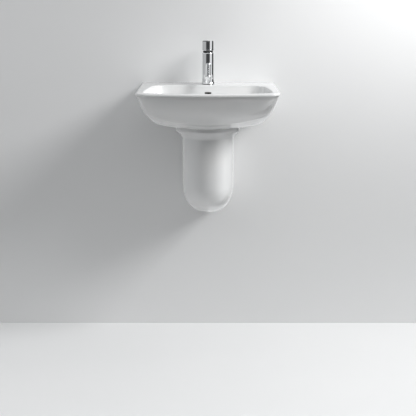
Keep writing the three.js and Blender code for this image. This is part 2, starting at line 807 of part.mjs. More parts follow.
function makeCartridgeDome() {
  const outer = tap.seatRadius - gap;
  const inner = cartridge.neckRadius + cartridge.slack;
  const low = shoulder + gap + cartridge.nutHeight + gap;
  const seat = bodyTop + gap;
  const flange = outer + dome.flange;
  const top = seat + dome.flangeThickness + dome.rise;
  const innerTop = Math.max(neckTop + gap, seat);
  return turned([
    [inner, low], [outer, low], [outer, seat], [flange - 1, seat], [flange - 1, seat + dome.flangeThickness],
    [flange - 4, top - 1.2], [dome.holeRadius, top], [dome.holeRadius, top - 1.6], [inner, innerTop],
    [inner, low],
  ], 24);
}

function makeHandle() {
  const r = handle.edgeRadius;
  const radius = tap.radius;
  const corner = [];
  for (let k = 0; k <= 3; k += 1) {
    const angle = (Math.PI / 2) * (k / 3);
    corner.push([radius - r * (1 - Math.cos(angle)), capTop - r + r * Math.sin(angle)]);
  }
  const foot = [[0, capLow], [radius - 0.6, capLow], [radius, capLow + 0.6]];
  const shell = turned([...foot, ...corner, [0, capTop]], 32);
  const inside = disc(radius - handle.wall, capLow - 5, capTop - handle.top, 28);
  const hub = disc(handle.hubRadius, hubLow, capTop - handle.top + 1, 20);
  const socketWidth = cartridge.stemWidth + 2 * gap;
  const socketDepth = handle.stemGrip + gap;
  const socket = box(socketWidth, socketWidth, socketDepth, 0, 0, hubLow + socketDepth / 2);
  const half = handle.leverWidth / 2;
  const reach = radius + handle.leverReach;
  const soft = 7;
  const tongue = new THREE.Shape();
  tongue.moveTo(-half, -(radius - handle.wall / 2));
  tongue.lineTo(-half, -(reach - soft));
  tongue.quadraticCurveTo(-half, -reach, -half + soft, -reach);
  tongue.lineTo(half - soft, -reach);
  tongue.quadraticCurveTo(half, -reach, half, -(reach - soft));
  tongue.lineTo(half, -(radius - handle.wall / 2));
  tongue.closePath();
  const bevel = 0.8;
  const options = {
    depth: handle.leverThickness - 2 * bevel, bevelEnabled: true, bevelThickness: bevel, bevelSize: bevel,
    bevelOffset: -bevel, bevelSegments: 1, curveSegments: 4,
  };
  const lever = new THREE.ExtrudeGeometry(tongue, options);
  lever.translate(0, 0, capLow + handle.leverAboveBottom + bevel);
  const behind = (size, from, to) => solidOf(link(size, from, screwZ, to, screwZ, 16));
  const room = solidOf(inside);
  const outerPart = cut(join(solidOf(shell), solidOf(lever)), room);
  const screwHole = behind(handle.screwRadius + gap, 0, handle.hubRadius + 1);
  const plugHole = behind(handle.plugRadius + gap, radius - handle.wall - 2, radius + 3);
  return cut(join(outerPart, solidOf(hub)), solidOf(socket), screwHole, plugHole);
}

const makeHandleScrew = () =>
  link(handle.screwRadius, cartridge.stemWidth / 2 + gap, screwZ, handle.hubRadius, screwZ, 12);
const makeHandlePlug = () =>
  link(handle.plugRadius, tap.radius - handle.wall + gap, screwZ, tap.radius - gap, screwZ, 16);

// ---------------------------------------------------------------- under the deck

const deckLow = rim - basin.deck;
const gasketHigh = deckLow - gap;
const plateHigh = gasketHigh - clamp.gasket - gap;
const studNutHigh = plateHigh - clamp.plate - gap;

// A horseshoe plate: open at the back for the tails, with a hole for the stud.
function horseshoe(high, thickness) {
  const slotHalf = tap.tailSpacing / 2 + tail.radius + 2 * gap;
  const slotStart = tap.tailsBehindAxis - tail.radius - 2 * gap;
  const shape = new THREE.Shape();
  const start = Math.acos(slotHalf / clamp.radius);
  shape.absarc(0, 0, clamp.radius, Math.PI - start, 2 * Math.PI + start, false);
  shape.lineTo(slotHalf, slotStart);
  shape.lineTo(-slotHalf, slotStart);
  shape.closePath();
  const hole = new THREE.Path();
  hole.absarc(0, -tap.studBeforeAxis, stud.radius + gap, 0, 2 * Math.PI, true);
  shape.holes.push(hole);
  const options = { depth: thickness, bevelEnabled: false, curveSegments: 12 };
  const geometry = new THREE.ExtrudeGeometry(shape, options);
  geometry.translate(0, 0, high - thickness);
  return geometry;
}

const studNutLow = studNutHigh - studNut.height;

const makeStud = () => disc(stud.radius, studNutLow - stud.beyondNut, webLow - gap, 14, 0, -tap.studBeforeAxis);
const makeStudNut = () =>
  hexNut(studNut.acrossFlats, stud.radius + gap, studNutLow, studNutHigh, 0, -tap.studBeforeAxis, 6, 7);

const tailTurn = underside - tail.splayStart;
const tailStraight = tailTurn - tail.splayHeight;
const tailEnd = tailStraight - tail.straight;

// A copper tail from the tap's web, down behind the bowl and outwards inside the pedestal.
function makeTail(side) {
  const x = (side * tap.tailSpacing) / 2;
  const y = tap.tailsBehindAxis;
  const out = side * tail.splay;
  const at = (px, z) => new THREE.Vector3(px, y, z);
  const path = new THREE.CurvePath();
  path.add(new THREE.LineCurve3(at(x, webLow - gap), at(x, tailTurn)));
  const third = tail.splayHeight * 0.45;
  path.add(new THREE.CubicBezierCurve3(
    at(x, tailTurn), at(x, tailTurn - third), at(out, tailStraight + third), at(out, tailStraight),
  ));
  path.add(new THREE.LineCurve3(at(out, tailStraight), at(out, tailEnd)));
  const section = new THREE.Shape();
  section.absarc(0, 0, tail.radius, 0, 2 * Math.PI, false);
  const bore = new THREE.Path();
  bore.absarc(0, 0, tail.radius - tail.wall, 0, 2 * Math.PI, true);
  section.holes.push(bore);
  const options = { steps: 16, bevelEnabled: false, extrudePath: path, curveSegments: 4 };
  return new THREE.ExtrudeGeometry(section, options);
}

const makeTailNut = (side) => {
  const low = tailEnd + tailNut.beyond;
  const [x, hole] = [side * tail.splay, tail.radius + gap];
  return hexNut(tailNut.acrossFlats, hole, low, low + tailNut.height, x, tap.tailsBehindAxis, 6, 7);
};

// ---------------------------------------------------------------- waste

const flangeLow = bowlFloor + gap + waste.upperSeal + gap;
const flangeHigh = flangeLow + waste.flangeThickness;
const tubeLow = flangeLow - waste.length;
const tubeInner = waste.tubeRadius - waste.tubeWall;
const plugLow = flangeHigh + gap;
const coreHigh = flangeHigh - waste.coreDrop;
const lowerSealHigh = underside - gap;
const backnutHigh = lowerSealHigh - waste.lowerSeal - gap;

function makeWasteFlange() {
  const tube = waste.tubeRadius;
  const profile = [
    [tubeInner, tubeLow], [tube, tubeLow], [tube, flangeLow], [waste.flangeRadius, flangeLow],
    [waste.flangeRadius, flangeLow + 0.8], [waste.flangeRadius - 1.5, flangeHigh], [tubeInner, flangeHigh],
    [tubeInner, tubeLow],
  ];
  const slotMiddle = below(basin.height - duct.endAboveUnderside);
  const slot = box(waste.slotWidth, 3 * tube, waste.slotHeight, 0, 0, slotMiddle);
  return cut(solidOf(turned(profile, 32)), solidOf(slot));
}

function makeWastePlug() {
  const [r, low] = [waste.plugRadius, plugLow];
  const high = low + waste.plugThickness;
  return turned([
    [0, low - waste.stemLength], [waste.stemRadius, low - waste.stemLength], [waste.stemRadius, low], [r, low],
    [r, low + 1.2], [r - 4, high - 0.8], [r * 0.5, high - 0.1], [0, high],
  ], 28);
}

function makeWasteCore() {
  const low = coreHigh - waste.coreHeight;
  const barrel = disc(waste.coreRadius, low, coreHigh, 20);
  const bar = box(2 * (tubeInner - gap), waste.barWidth, waste.barHeight, 0, 0, low + waste.barHeight / 2);
  const bore = disc(waste.stemRadius + 2 * gap, plugLow - waste.stemLength - 1, coreHigh + 1, 16);
  const reach = solidOf(disc(tubeInner - gap, low - 1, coreHigh, 24));
  return cut(join(solidOf(barrel), solidOf(bar)).intersect(reach), solidOf(bore));
}

const makeUpperSeal = () => {
  const low = bowlFloor + gap;
  return ring(bowl.wasteHoleRadius - 1, waste.flangeRadius - 2, low, low + waste.upperSeal, 24);
};
const makeLowerSeal = () =>
  ring(waste.tubeRadius + gap, waste.lowerSealRadius, lowerSealHigh - waste.lowerSeal, lowerSealHigh, 24);
const makeBacknut = () =>
  hexNut(waste.nutAcrossFlats, waste.tubeRadius + gap, backnutHigh - waste.nutHeight, backnutHigh, 0, 0, 8, 12);

// ---------------------------------------------------------------- bottle trap

const inletWasherHigh = tubeLow - gap;
const neckFlangeHigh = inletWasherHigh - trap.washer - gap;
const trapTop = neckFlangeHigh - trap.neckLength;
const trapBodyLow = trapTop - trap.bodyHeight;
const cupHigh = trapBodyLow - gap - trap.cupSeal - gap;
const outletZ = trapTop - trap.outletDrop;
const neckInner = trap.dipRadius + gap;

const makeInletWasher = () =>
  ring(neckInner, waste.tubeRadius - gap, inletWasherHigh - trap.washer, inletWasherHigh, 20);

function makeInletNut() {
  const thread = waste.tubeRadius + gap;
  const lip = trap.neckRadius + gap;
  const high = tubeLow + trap.nutGrip;
  const lipHigh = neckFlangeHigh - trap.flange - gap;
  const low = lipHigh - trap.nutLip;
  const outer = trap.nutRadius;
  return turned([
    [lip, low], [outer, low], [outer, high], [thread, high], [thread, lipHigh], [lip, lipHigh], [lip, low],
  ], 24);
}

function makeTrapBody() {
  const flangeRadius = waste.tubeRadius;
  const neckLow = neckFlangeHigh - trap.flange;
  const [outer, neck] = [trap.radius, trap.neckRadius];
  const shell = turned([
    [0, trapBodyLow], [outer, trapBodyLow], [outer, trapTop - 3], [outer - 3, trapTop], [neck, trapTop],
    [neck, neckLow], [flangeRadius, neckLow], [flangeRadius, neckFlangeHigh], [0, neckFlangeHigh],
  ], 28);
  const room = disc(outer - trap.wall, trapBodyLow - 1, trapTop - trap.wall, 28);
  const neckBore = disc(neckInner, trapTop - 2 * trap.wall, neckFlangeHigh + 1, 24);
  const branch = link(trap.branchRadius, 0, outletZ, trap.branchLength, outletZ, 24);
  const boreStart = outer - trap.wall - 4;
  const branchBore = link(trap.pipeRadius + gap, boreStart, outletZ, trap.branchLength + 1, outletZ, 24);
  const outside = join(solidOf(shell), solidOf(branch));
  return cut(outside, solidOf(room), solidOf(neckBore), solidOf(branchBore));
}

const makeDipTube = () => {
  const high = neckFlangeHigh - trap.flange;
  return ring(trap.dipRadius - trap.dipWall, trap.dipRadius, high - trap.dipLength, high, 20);
};

const makeCupSeal = () =>
  ring(trap.radius - trap.wall - 1, trap.radius - gap, cupHigh + gap, cupHigh + gap + trap.cupSeal, 20);

function makeTrapCup() {
  const [r, wall, high] = [trap.radius, trap.wall, cupHigh];
  const low = high - trap.cupHeight;
  const grip = r + trap.cupGripExtra;
  const gripLow = high - trap.cupGripHeight;
  return turned([
    [0, low], [r - 8, low], [r - 2, low + 5], [r, low + 12], [r, gripLow - 2], [grip, gripLow], [grip, high],
    [r - wall, high], [r - wall, low + 12], [r - 9, low + wall], [0, low + wall],
  ], 24);
}

// Distances from the wall along the outlet's axis.
const branchEnd = bowl.wasteFromWall - trap.branchLength;
const outletWasherNear = branchEnd - gap - trap.outletWasher;

const makeOutletWasher = () =>
  awayFromWall(ring(trap.pipeRadius + gap, trap.branchRadius, outletWasherNear, branchEnd - gap, 24));

function makeOutletNut() {
  const hole = trap.pipeRadius + gap;
  const thread = trap.branchRadius + gap;
  const outer = thread + trap.outletNutWall;
  const near = outletWasherNear - gap - trap.nutLip;
  const far = near + trap.outletNutLength;
  const lip = near + trap.nutLip;
  return awayFromWall(turned(
    [[hole, near], [outer, near], [outer, far], [thread, far], [thread, lip], [hole, lip], [hole, near]], 24,
  ));
}

const makeOutletPipe = () =>
  awayFromWall(ring(trap.pipeRadius - trap.pipeWall, trap.pipeRadius, 0, branchEnd + trap.pipeInBranch, 24));

// ---------------------------------------------------------------- assembly

const part = new THREE.Group();

function add(name, shape, material, place = [0, 0, 0]) {
  const geometry = shape.isBufferGeometry ? shape : geometryOf(shape);
  const mesh = new THREE.Mesh(geometry, material());
  mesh.name = name;
  mesh.position.set(...place);
  part.add(mesh);
}

add('basin', makeBasin(), glaze);
add('pedestal', makePedestal(), glaze);
add('pedestal_seal', makePedestalSeal(), rubber);

for (const [side, word] of [[-1, 'left'], [1, 'right']]) {
  const upper = fixing(bolt, nut, basin.apron, 'basin', (side * basin.boltSpacing) / 2, 0);
  const lower = fixing(smallBolt, smallNut, pedestal.lugThickness, 'pedestal', side * lugBoltX, lugZ);
  for (const [name, shape, material, x, z] of [...upper, ...lower]) {
    add(`${name}_${word}`, shape, material, [x, 0, z]);
  }
}

add('tap_body', makeTapBody(), chrome);
add('tap_base_ring', makeBaseRing(), chrome, atTap);
add('tap_base_seal', makeBaseSeal(), rubber, atTap);
add('aerator_shell', makeAeratorShell(), chrome, [0, tapY - nozzleReach, 0]);
add('aerator_insert', makeAeratorInsert(), greyPlastic, [0, tapY - nozzleReach, 0]);
add('cartridge_body', makeCartridgeBody(), whitePlastic, atTap);
add('cartridge_rotor', makeCartridgeRotor(), greyPlastic, atTap);
add('stem_pin', makeStemPin(), steel, atTap);
add('cartridge_stem', makeCartridgeStem(), brass, atTap);
add('cartridge_nut', makeCartridgeNut(), brass, atTap);
add('cartridge_dome', makeCartridgeDome(), chrome, atTap);
add('handle', makeHandle(), chrome, atTap);
add('handle_screw', makeHandleScrew(), steel, atTap);
add('handle_plug', makeHandlePlug(), greyPlastic, atTap);
add('tap_stud', makeStud(), steel, atTap);
add('horseshoe_gasket', horseshoe(gasketHigh, clamp.gasket), rubber, atTap);
add('horseshoe_washer', horseshoe(plateHigh, clamp.plate), steel, atTap);
add('stud_nut', makeStudNut(), brass, atTap);
for (const [side, word] of [[-1, 'hot'], [1, 'cold']]) {
  add(`${word}_tail`, makeTail(side), copper, atTap);
  add(`${word}_tail_nut`, makeTailNut(side), brass, atTap);
}

const atWaste = [0, wasteY, 0];
add('waste_flange', makeWasteFlange(), chrome, atWaste);
add('waste_plug', makeWastePlug(), chrome, atWaste);
add('waste_core', makeWasteCore(), whitePlastic, atWaste);
add('waste_upper_seal', makeUpperSeal(), rubber, atWaste);
add('waste_lower_seal', makeLowerSeal(), rubber, atWaste);
add('waste_backnut', makeBacknut(), brass, atWaste);
add('trap_inlet_nut', makeInletNut(), whitePlastic, atWaste);
add('trap_inlet_washer', makeInletWasher(), rubber, atWaste);
add('trap_body', makeTrapBody(), whitePlastic, atWaste);
add('trap_dip_tube', makeDipTube(), whitePlastic, atWaste);
add('trap_cup', makeTrapCup(), whitePlastic, atWaste);
add('trap_cup_seal', makeCupSeal(), rubber, atWaste);
add('trap_outlet_nut', makeOutletNut(), whitePlastic, [0, 0, outletZ]);
add('trap_outlet_washer', makeOutletWasher(), rubber, [0, 0, outletZ]);
add('trap_outlet_pipe', makeOutletPipe(), whitePlastic, [0, 0, outletZ]);

export default part;
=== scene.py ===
import json
import math

import bmesh
import bpy
from mathutils import Matrix, Vector


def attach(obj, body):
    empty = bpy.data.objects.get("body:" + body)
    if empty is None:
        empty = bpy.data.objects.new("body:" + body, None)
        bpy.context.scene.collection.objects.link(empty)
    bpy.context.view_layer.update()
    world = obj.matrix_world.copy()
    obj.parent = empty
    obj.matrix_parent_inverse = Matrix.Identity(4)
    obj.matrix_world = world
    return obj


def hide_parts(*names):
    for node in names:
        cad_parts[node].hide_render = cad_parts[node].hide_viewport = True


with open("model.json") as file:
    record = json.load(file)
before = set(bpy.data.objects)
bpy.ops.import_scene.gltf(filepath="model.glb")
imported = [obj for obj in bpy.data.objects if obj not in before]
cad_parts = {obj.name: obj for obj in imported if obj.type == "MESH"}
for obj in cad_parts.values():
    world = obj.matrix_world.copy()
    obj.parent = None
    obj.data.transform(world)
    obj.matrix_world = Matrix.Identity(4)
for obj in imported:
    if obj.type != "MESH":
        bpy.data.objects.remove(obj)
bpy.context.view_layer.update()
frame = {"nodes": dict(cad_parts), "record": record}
nodes = frame["nodes"]
scene = bpy.context.scene
mm = 0.001
weld = 1e-5  # corners closer than this are joined, in metres
flatBack = -0.0004  # what lies further back than this is against the wall, in metres
past = 5  # how far a cutter runs past the face that it opens, in millimetres
print("frame loaded")

# the camera stands in the room, a little above the basin, and looks down at it
cameraSettings = {"place": (0.0, -3.699, 0.439), "tiltDown": 12.889, "lens": 84.36, "sensor": 36.0}

cameraData = bpy.data.cameras.new("roomCamera")
cameraData.lens = cameraSettings["lens"]
cameraData.sensor_width = cameraSettings["sensor"]
camera = bpy.data.objects.new("roomCamera", cameraData)
camera.location = cameraSettings["place"]
camera.rotation_euler = (math.radians(90 - cameraSettings["tiltDown"]), 0, 0)
scene.collection.objects.link(camera)
scene.camera = camera


# a value inside a node tree, so that shader maths reads as plain sums
class Wire:
    def __init__(self, tree, socket):
        self.tree, self.socket = tree, socket

    def maths(self, operation, *values):
        node = self.tree.nodes.new("ShaderNodeMath")
        node.operation = operation
        for slot, value in zip(node.inputs, values):
            if isinstance(value, Wire):
                self.tree.links.new(value.socket, slot)
            else:
                slot.default_value = value
        return Wire(self.tree, node.outputs[0])

    def __add__(self, other):
        return self.maths("ADD", self, other)

    def __radd__(self, other):
        return self.maths("ADD", other, self)

    def __sub__(self, other):
        return self.maths("SUBTRACT", self, other)

    def __rsub__(self, other):
        return self.maths("SUBTRACT", other, self)

    def __mul__(self, other):
        return self.maths("MULTIPLY", self, other)

    def __rmul__(self, other):
        return self.maths("MULTIPLY", other, self)

    # 0 below the low value, 1 above the high one, and a smooth rise between them
    def above(self, low, high):
        node = self.tree.nodes.new("ShaderNodeMapRange")
        node.interpolation_type = "SMOOTHSTEP"
        self.tree.links.new(self.socket, node.inputs["Value"])
        node.inputs["From Min"].default_value = low
        node.inputs["From Max"].default_value = high
        return Wire(self.tree, node.outputs["Result"])

    # 1 between the two middle values, and a smooth fall to 0 on both sides
    def between(self, start, full, fade, end):
        return self.above(start, full) * (1 - self.above(fade, end))


class Tree:
    def __init__(self, owner):
        owner.use_nodes = True
        self.owner, self.tree = owner, owner.node_tree
        self.tree.nodes.clear()

    # one node: its type, its settings, and what goes into its sockets, by name or as n and a number
    def make(self, kind, settings=None, output=0, **sockets):
        node = self.tree.nodes.new(kind)
        for name, value in (settings or {}).items():
            setattr(node, name, value)
        for name, value in sockets.items():
            isNumbered = name[0] == "n" and name[1:].isdigit()
            slot = node.inputs[int(name[1:]) if isNumbered else name.replace("_", " ")]
            if isinstance(value, Wire):
                self.tree.links.new(value.socket, slot)
            else:
                slot.default_value = value
        return Wire(self.tree, node.outputs[output])

    def place(self, scale=(1, 1, 1)):
        coordinates = self.make("ShaderNodeTexCoord", output="Object")
        return self.make("ShaderNodeMapping", Vector=coordinates, Scale=scale)

    def axis(self, letter, vector):
        return self.make("ShaderNodeSeparateXYZ", output=letter, Vector=vector)

    def noise(self, scale, detail=2, roughness=0.5, stretch=(1, 1, 1)):
        return self.make(
            "ShaderNodeTexNoise", output="Fac",
            Vector=self.place(stretch), Scale=scale, Detail=detail, Roughness=roughness,
        )

    def cells(self, scale):
        return self.make("ShaderNodeTexVoronoi", output="Distance", Vector=self.place(), Scale=scale)

    # the mixing node takes its colours in sockets 6 and 7 and gives the mixed one at output 2
    def mix(self, factor, first, second):
        first, second = (color if isinstance(color, Wire) else (*color, 1) for color in (first, second))
        return self.make("ShaderNodeMix", {"data_type": "RGBA"}, output=2, n0=factor, n6=first, n7=second)

    def bump(self, height, strength, distance):
        return self.make("ShaderNodeBump", Height=height, Strength=strength, Distance=distance)

    def finishWith(self, shader, kind="ShaderNodeOutputMaterial"):
        node = self.tree.nodes.new(kind)
        self.tree.links.new(shader.socket, node.inputs["Surface"])
        return self.owner

    def principled(self, **sockets):
        return self.finishWith(self.make("ShaderNodeBsdfPrincipled", **sockets))


def newTree(name):
    return Tree(bpy.data.materials.new(name))


# glazed ceramic: faint clouds in the glaze, a soft ripple and a few pinholes
def glazeMaterial():
    tree = newTree("whiteGlaze")
    clouds = tree.noise(scale=9, detail=3)
    ripple = tree.noise(scale=28)
    pinholes = 1 - tree.cells(scale=95).above(0.02, 0.06)
    color = tree.mix(clouds.above(0.35, 0.75), (0.735, 0.74, 0.74), (0.765, 0.765, 0.76))
    color = tree.mix(pinholes * 0.25, color, (0.66, 0.65, 0.63))
    return tree.principled(
        Base_Color=color, Roughness=0.2 + clouds * 0.06 + pinholes * 0.2,
        Coat_Weight=0.5 - pinholes * 0.3, Coat_Roughness=0.04, Coat_IOR=1.5,
        Normal=tree.bump(ripple * 0.6 - pinholes, strength=0.12, distance=0.0006),
    )


# bare fired clay on the sides that face the wall
def clayMaterial():
    tree = newTree("bareClay")
    patches = tree.noise(scale=14, detail=5, roughness=0.6)
    grain = tree.noise(scale=900)
    color = tree.mix(patches.above(0.3, 0.7), (0.78, 0.75, 0.7), (0.86, 0.84, 0.8))
    color = tree.mix(grain.above(0.6, 0.75) * 0.5, color, (0.6, 0.56, 0.5))
    return tree.principled(
        Base_Color=color, Roughness=0.72 + patches * 0.15,
        Normal=tree.bump(grain + patches * 3, strength=0.35, distance=0.0004),
    )


# painted shade: the inside of the overflow is coloured near-black, with a faint mottle, to stand for the
# shade deep in it
def ductShadeMaterial():
    tree = newTree("overflowPaintedShade")
    stains = tree.noise(scale=160, detail=4)
    color = tree.mix(stains, (0.035, 0.034, 0.033), (0.09, 0.085, 0.08))
    return tree.principled(Base_Color=color, Roughness=0.55 + stains * 0.2)


# polished chrome with a few finger marks and dried drops
def chromeMaterial(name, bright, spotted):
    tree = newTree(name)
    marks = tree.noise(scale=55, detail=4, roughness=0.6).above(0.52, 0.75)
    drops = 1 - tree.cells(scale=170).above(0.16, 0.24)
    spots = drops * tree.noise(scale=40).above(0.5, 0.62)
    wave = tree.noise(scale=120, detail=1)
    return tree.principled(
        Base_Color=tree.mix(spots * 0.3, bright, spotted), Metallic=1.0,
        Roughness=0.035 + marks * 0.07 + spots * 0.12, Normal=tree.bump(wave, strength=0.04, distance=0.0003),
    )


# machined or drawn metal: fine lines across the stretch given, and dull patches
def metalMaterial(name, bright, dull, roughness, stretch):
    tree = newTree(name)
    patches = tree.noise(scale=30, detail=4, roughness=0.6)
    cuts = tree.noise(scale=240, stretch=stretch)
    return tree.principled(
        Base_Color=tree.mix(patches.above(0.35, 0.7), bright, dull), Metallic=1.0,
        Roughness=roughness + patches * 0.18 + cuts * 0.1,
        Normal=tree.bump(cuts, strength=0.25, distance=0.0002),
    )


# moulded plastic or rubber: a fine texture and light scuffs
def mouldedMaterial(name, color, scuff, roughness, grainSize):
    tree = newTree(name)
    patches = tree.noise(scale=22, detail=4, roughness=0.6)
    grain = tree.noise(scale=grainSize)
    return tree.principled(
        Base_Color=tree.mix(patches.above(0.45, 0.8) * 0.6, color, scuff),
        Roughness=roughness + patches * 0.12, Normal=tree.bump(grain, strength=0.2, distance=0.00015),
    )


glaze = glazeMaterial()
clay = clayMaterial()
ductPaintedShade = ductShadeMaterial()
chrome = chromeMaterial("polishedChrome", (0.87, 0.88, 0.89), (0.7, 0.71, 0.72))
# painted dark reflection: a darker chrome for the band round the cap's top edge
paintedShadeChrome = chromeMaterial("paintedShadeChrome", (0.2, 0.203, 0.208), (0.15, 0.152, 0.156))
# painted shade: the cartridge cover is coloured near-black to stand for the shade in the gap under the cap
paintedShadeNeck = mouldedMaterial("paintedShadeNeck", (0.02, 0.02, 0.021), (0.035, 0.035, 0.036), 0.4, 900.0)
brass = metalMaterial("machinedBrass", (0.72, 0.55, 0.26), (0.56, 0.43, 0.22), 0.22, (1, 1, 6))
copper = metalMaterial("drawnCopper", (0.8, 0.47, 0.3), (0.55, 0.3, 0.2), 0.25, (6, 6, 1))
steel = metalMaterial("zincPlatedSteel", (0.66, 0.67, 0.66), (0.5, 0.51, 0.52), 0.3, (1, 6, 1))
rubber = mouldedMaterial("blackRubber", (0.025, 0.025, 0.025), (0.06, 0.058, 0.055), 0.62, 700.0)
whitePlastic = mouldedMaterial("whitePlastic", (0.82, 0.82, 0.8), (0.72, 0.71, 0.68), 0.32, 900.0)
greyPlastic = mouldedMaterial("greyPlastic", (0.3, 0.31, 0.32), (0.22, 0.225, 0.23), 0.38, 900.0)
paleRubber = mouldedMaterial("paleRubber", (0.8, 0.8, 0.795), (0.72, 0.72, 0.71), 0.5, 700.0)
slotMaterials = {
    "glaze": glaze, "chrome": chrome, "brass": brass, "copper": copper, "steel": steel,
    "rubber": rubber, "white_plastic": whitePlastic, "grey_plastic": greyPlastic,
}
print("materials made")

slotOf = {entry["node"]: entry["material_slot"] for entry in frame["record"]["subparts"]}
bodyOf = {node: body for body, members in frame["record"]["behaviour"]["bodies"].items() for node in members}


# puts a bmesh into the scene as an object, and frees it
def objectFrom(name, bm):
    mesh = bpy.data.meshes.new(name)
    bm.to_mesh(mesh)
    bm.free()
    made = bpy.data.objects.new(name, mesh)
    scene.collection.objects.link(made)
    return made


# turns a bmesh into a piece that stands for CAD nodes and rides with their body
def finishPiece(name, bm, standsFor, materials, sharpAngle):
    piece = objectFrom(name, bm)
    mesh = piece.data
    for material in materials:
        mesh.materials.append(material)
    mesh.polygons.foreach_set("use_smooth", [True] * len(mesh.polygons))
    mesh.set_sharp_from_angle(angle=math.radians(sharpAngle))
    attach(piece, bodyOf[standsFor[0]])
    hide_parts(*standsFor)
    return piece


# smooths a bmesh, joins shapes to it and cuts others out of it; all of them are freed
def shapedBmesh(bm, smoothing=0, cutters=(), joined=()):
    base = objectFrom("working", bm)
    if smoothing:
        smoother = base.modifiers.new("Smooth", "SUBSURF")
        smoother.levels = smoother.render_levels = smoothing
    tools = []
    for operation, shapes in (("UNION", joined), ("DIFFERENCE", cutters)):
        for shape in shapes:
            tools.append(objectFrom("tool", shape))
            boolean = base.modifiers.new("Carve", "BOOLEAN")
            boolean.operation = operation
            boolean.solver = "EXACT"
            boolean.object = tools[-1]
    bpy.context.view_layer.update()
    shaped = bpy.data.meshes.new_from_object(base.evaluated_get(bpy.context.evaluated_depsgraph_get()))
    result = bmesh.new()
    result.from_mesh(shaped)
    for item in [base, *tools]:
        data = item.data
        bpy.data.objects.remove(item)
        bpy.data.meshes.remove(data)
    bpy.data.meshes.remove(shaped)
    return result


# grows a skin ring by ring; every ring is a list of places in millimetres, all of one length
def growSkin(bm, rings, isOpen=False):
    order = bm.verts.layers.int.get("order") or bm.verts.layers.int.new("order")
    start = bmesh.ops.create_circle(bm, segments=len(rings[0]), radius=1)["verts"]
    for number, vert in enumerate(start):
        vert[order] = number
        vert.co = Vector(rings[0][number]) * mm
    edges = list(dict.fromkeys(edge for vert in start for edge in vert.link_edges))
    if isOpen:
        closing = [edge for edge in edges if abs(edge.verts[0][order] - edge.verts[1][order]) > 1]
        edges = [edge for edge in edges if edge not in closing]
        bmesh.ops.delete(bm, geom=closing, context="EDGES")
    for ring in rings[1:]:
        grown = bmesh.ops.extrude_edge_only(bm, edges=edges)["geom"]
        fresh = {item for item in grown if isinstance(item, bmesh.types.BMVert)}
        edges = [item for item in grown if isinstance(item, bmesh.types.BMEdge) and set(item.verts) <= fresh]
        for vert in fresh:
            vert.co = Vector(ring[vert[order]]) * mm
    return bm


def closeUp(bm):
    bmesh.ops.remove_doubles(bm, verts=bm.verts[:], dist=weld)
    bmesh.ops.recalc_face_normals(bm, faces=bm.faces[:])
    return bm


def moved(bm, place):
    bmesh.ops.translate(bm, verts=bm.verts[:], vec=Vector(place) * mm)
    return bm


def roundEdges(bm, edges, radius, segments=3, isClamped=False):
    bmesh.ops.bevel(
        bm, geom=edges, offset=radius * mm, affect="EDGES", segments=segments, profile=0.5, material=-1,
        clamp_overlap=isClamped,
    )


# a turned solid: a closed outline of radius and height in millimetres, spun round its axis
def turnedSolid(profile, centre=(0, 0, 0), steps=64, soften=0.0):
    bm = bmesh.new()
    verts = [bm.verts.new((radius * mm, 0, height * mm)) for radius, height in profile]
    edges = [bm.edges.new(pair) for pair in zip(verts, verts[1:])]
    if profile[0][0] > 0:
        edges.append(bm.edges.new((verts[-1], verts[0])))
    bmesh.ops.spin(
        bm, geom=verts + edges, cent=(0, 0, 0), axis=(0, 0, 1), angle=2 * math.pi, steps=steps,
        use_merge=True, use_duplicate=False,
    )
    closeUp(bm)
    if soften:
        limit = math.radians(25)
        sharp = [edge for edge in bm.edges if len(edge.link_faces) == 2 and edge.calc_face_angle() > limit]
        roundEdges(bm, sharp, soften, isClamped=True)
    return moved(bm, centre)


# outlines for turned solids: a plain tube or rod, and a rod with rounded ends
def tube(inner, outer, low, high):
    return [(inner, low), (outer, low), (outer, high), (inner, high)]


def softRod(radius, low, high, lowRound=0.3, highRound=0.3, steps=4):
    turns = [math.pi / 2 * k / steps for k in range(steps + 1)]
    near, far = radius - lowRound, radius - highRound
    foot = [(near + lowRound * math.sin(turn), low + lowRound - lowRound * math.cos(turn)) for turn in turns]
    top = high - highRound
    head = [(far + highRound * math.cos(turn), top + highRound * math.sin(turn)) for turn in turns]
    return [(0, low), *foot, *head, (0, high)]


# turns a shape made along z so that it runs from one place to another
def aimed(bm, start, end):
    start, end = Vector(start) * mm, Vector(end) * mm
    turn = (end - start).to_track_quat("Z", "Y").to_matrix().to_4x4()
    bmesh.ops.transform(bm, verts=bm.verts[:], matrix=Matrix.Translation(start) @ turn)
    return bm


# turns a shape made along z so that it comes out of the wall
def outwards(bm, z, x=0.0):
    bmesh.ops.rotate(bm, verts=bm.verts[:], cent=(0, 0, 0), matrix=Matrix.Rotation(math.radians(90), 3, "X"))
    return moved(bm, (x, 0, z))


def softBox(size, centre, radius=0.0):
    bm = bmesh.new()
    bmesh.ops.create_cube(bm, size=1)
    bmesh.ops.scale(bm, verts=bm.verts[:], vec=Vector(size) * mm)
    moved(bm, centre)
    if radius:
        roundEdges(bm, bm.edges[:], radius)
    return bm


def mixed(first, second, share):
    return first + (second - first) * share


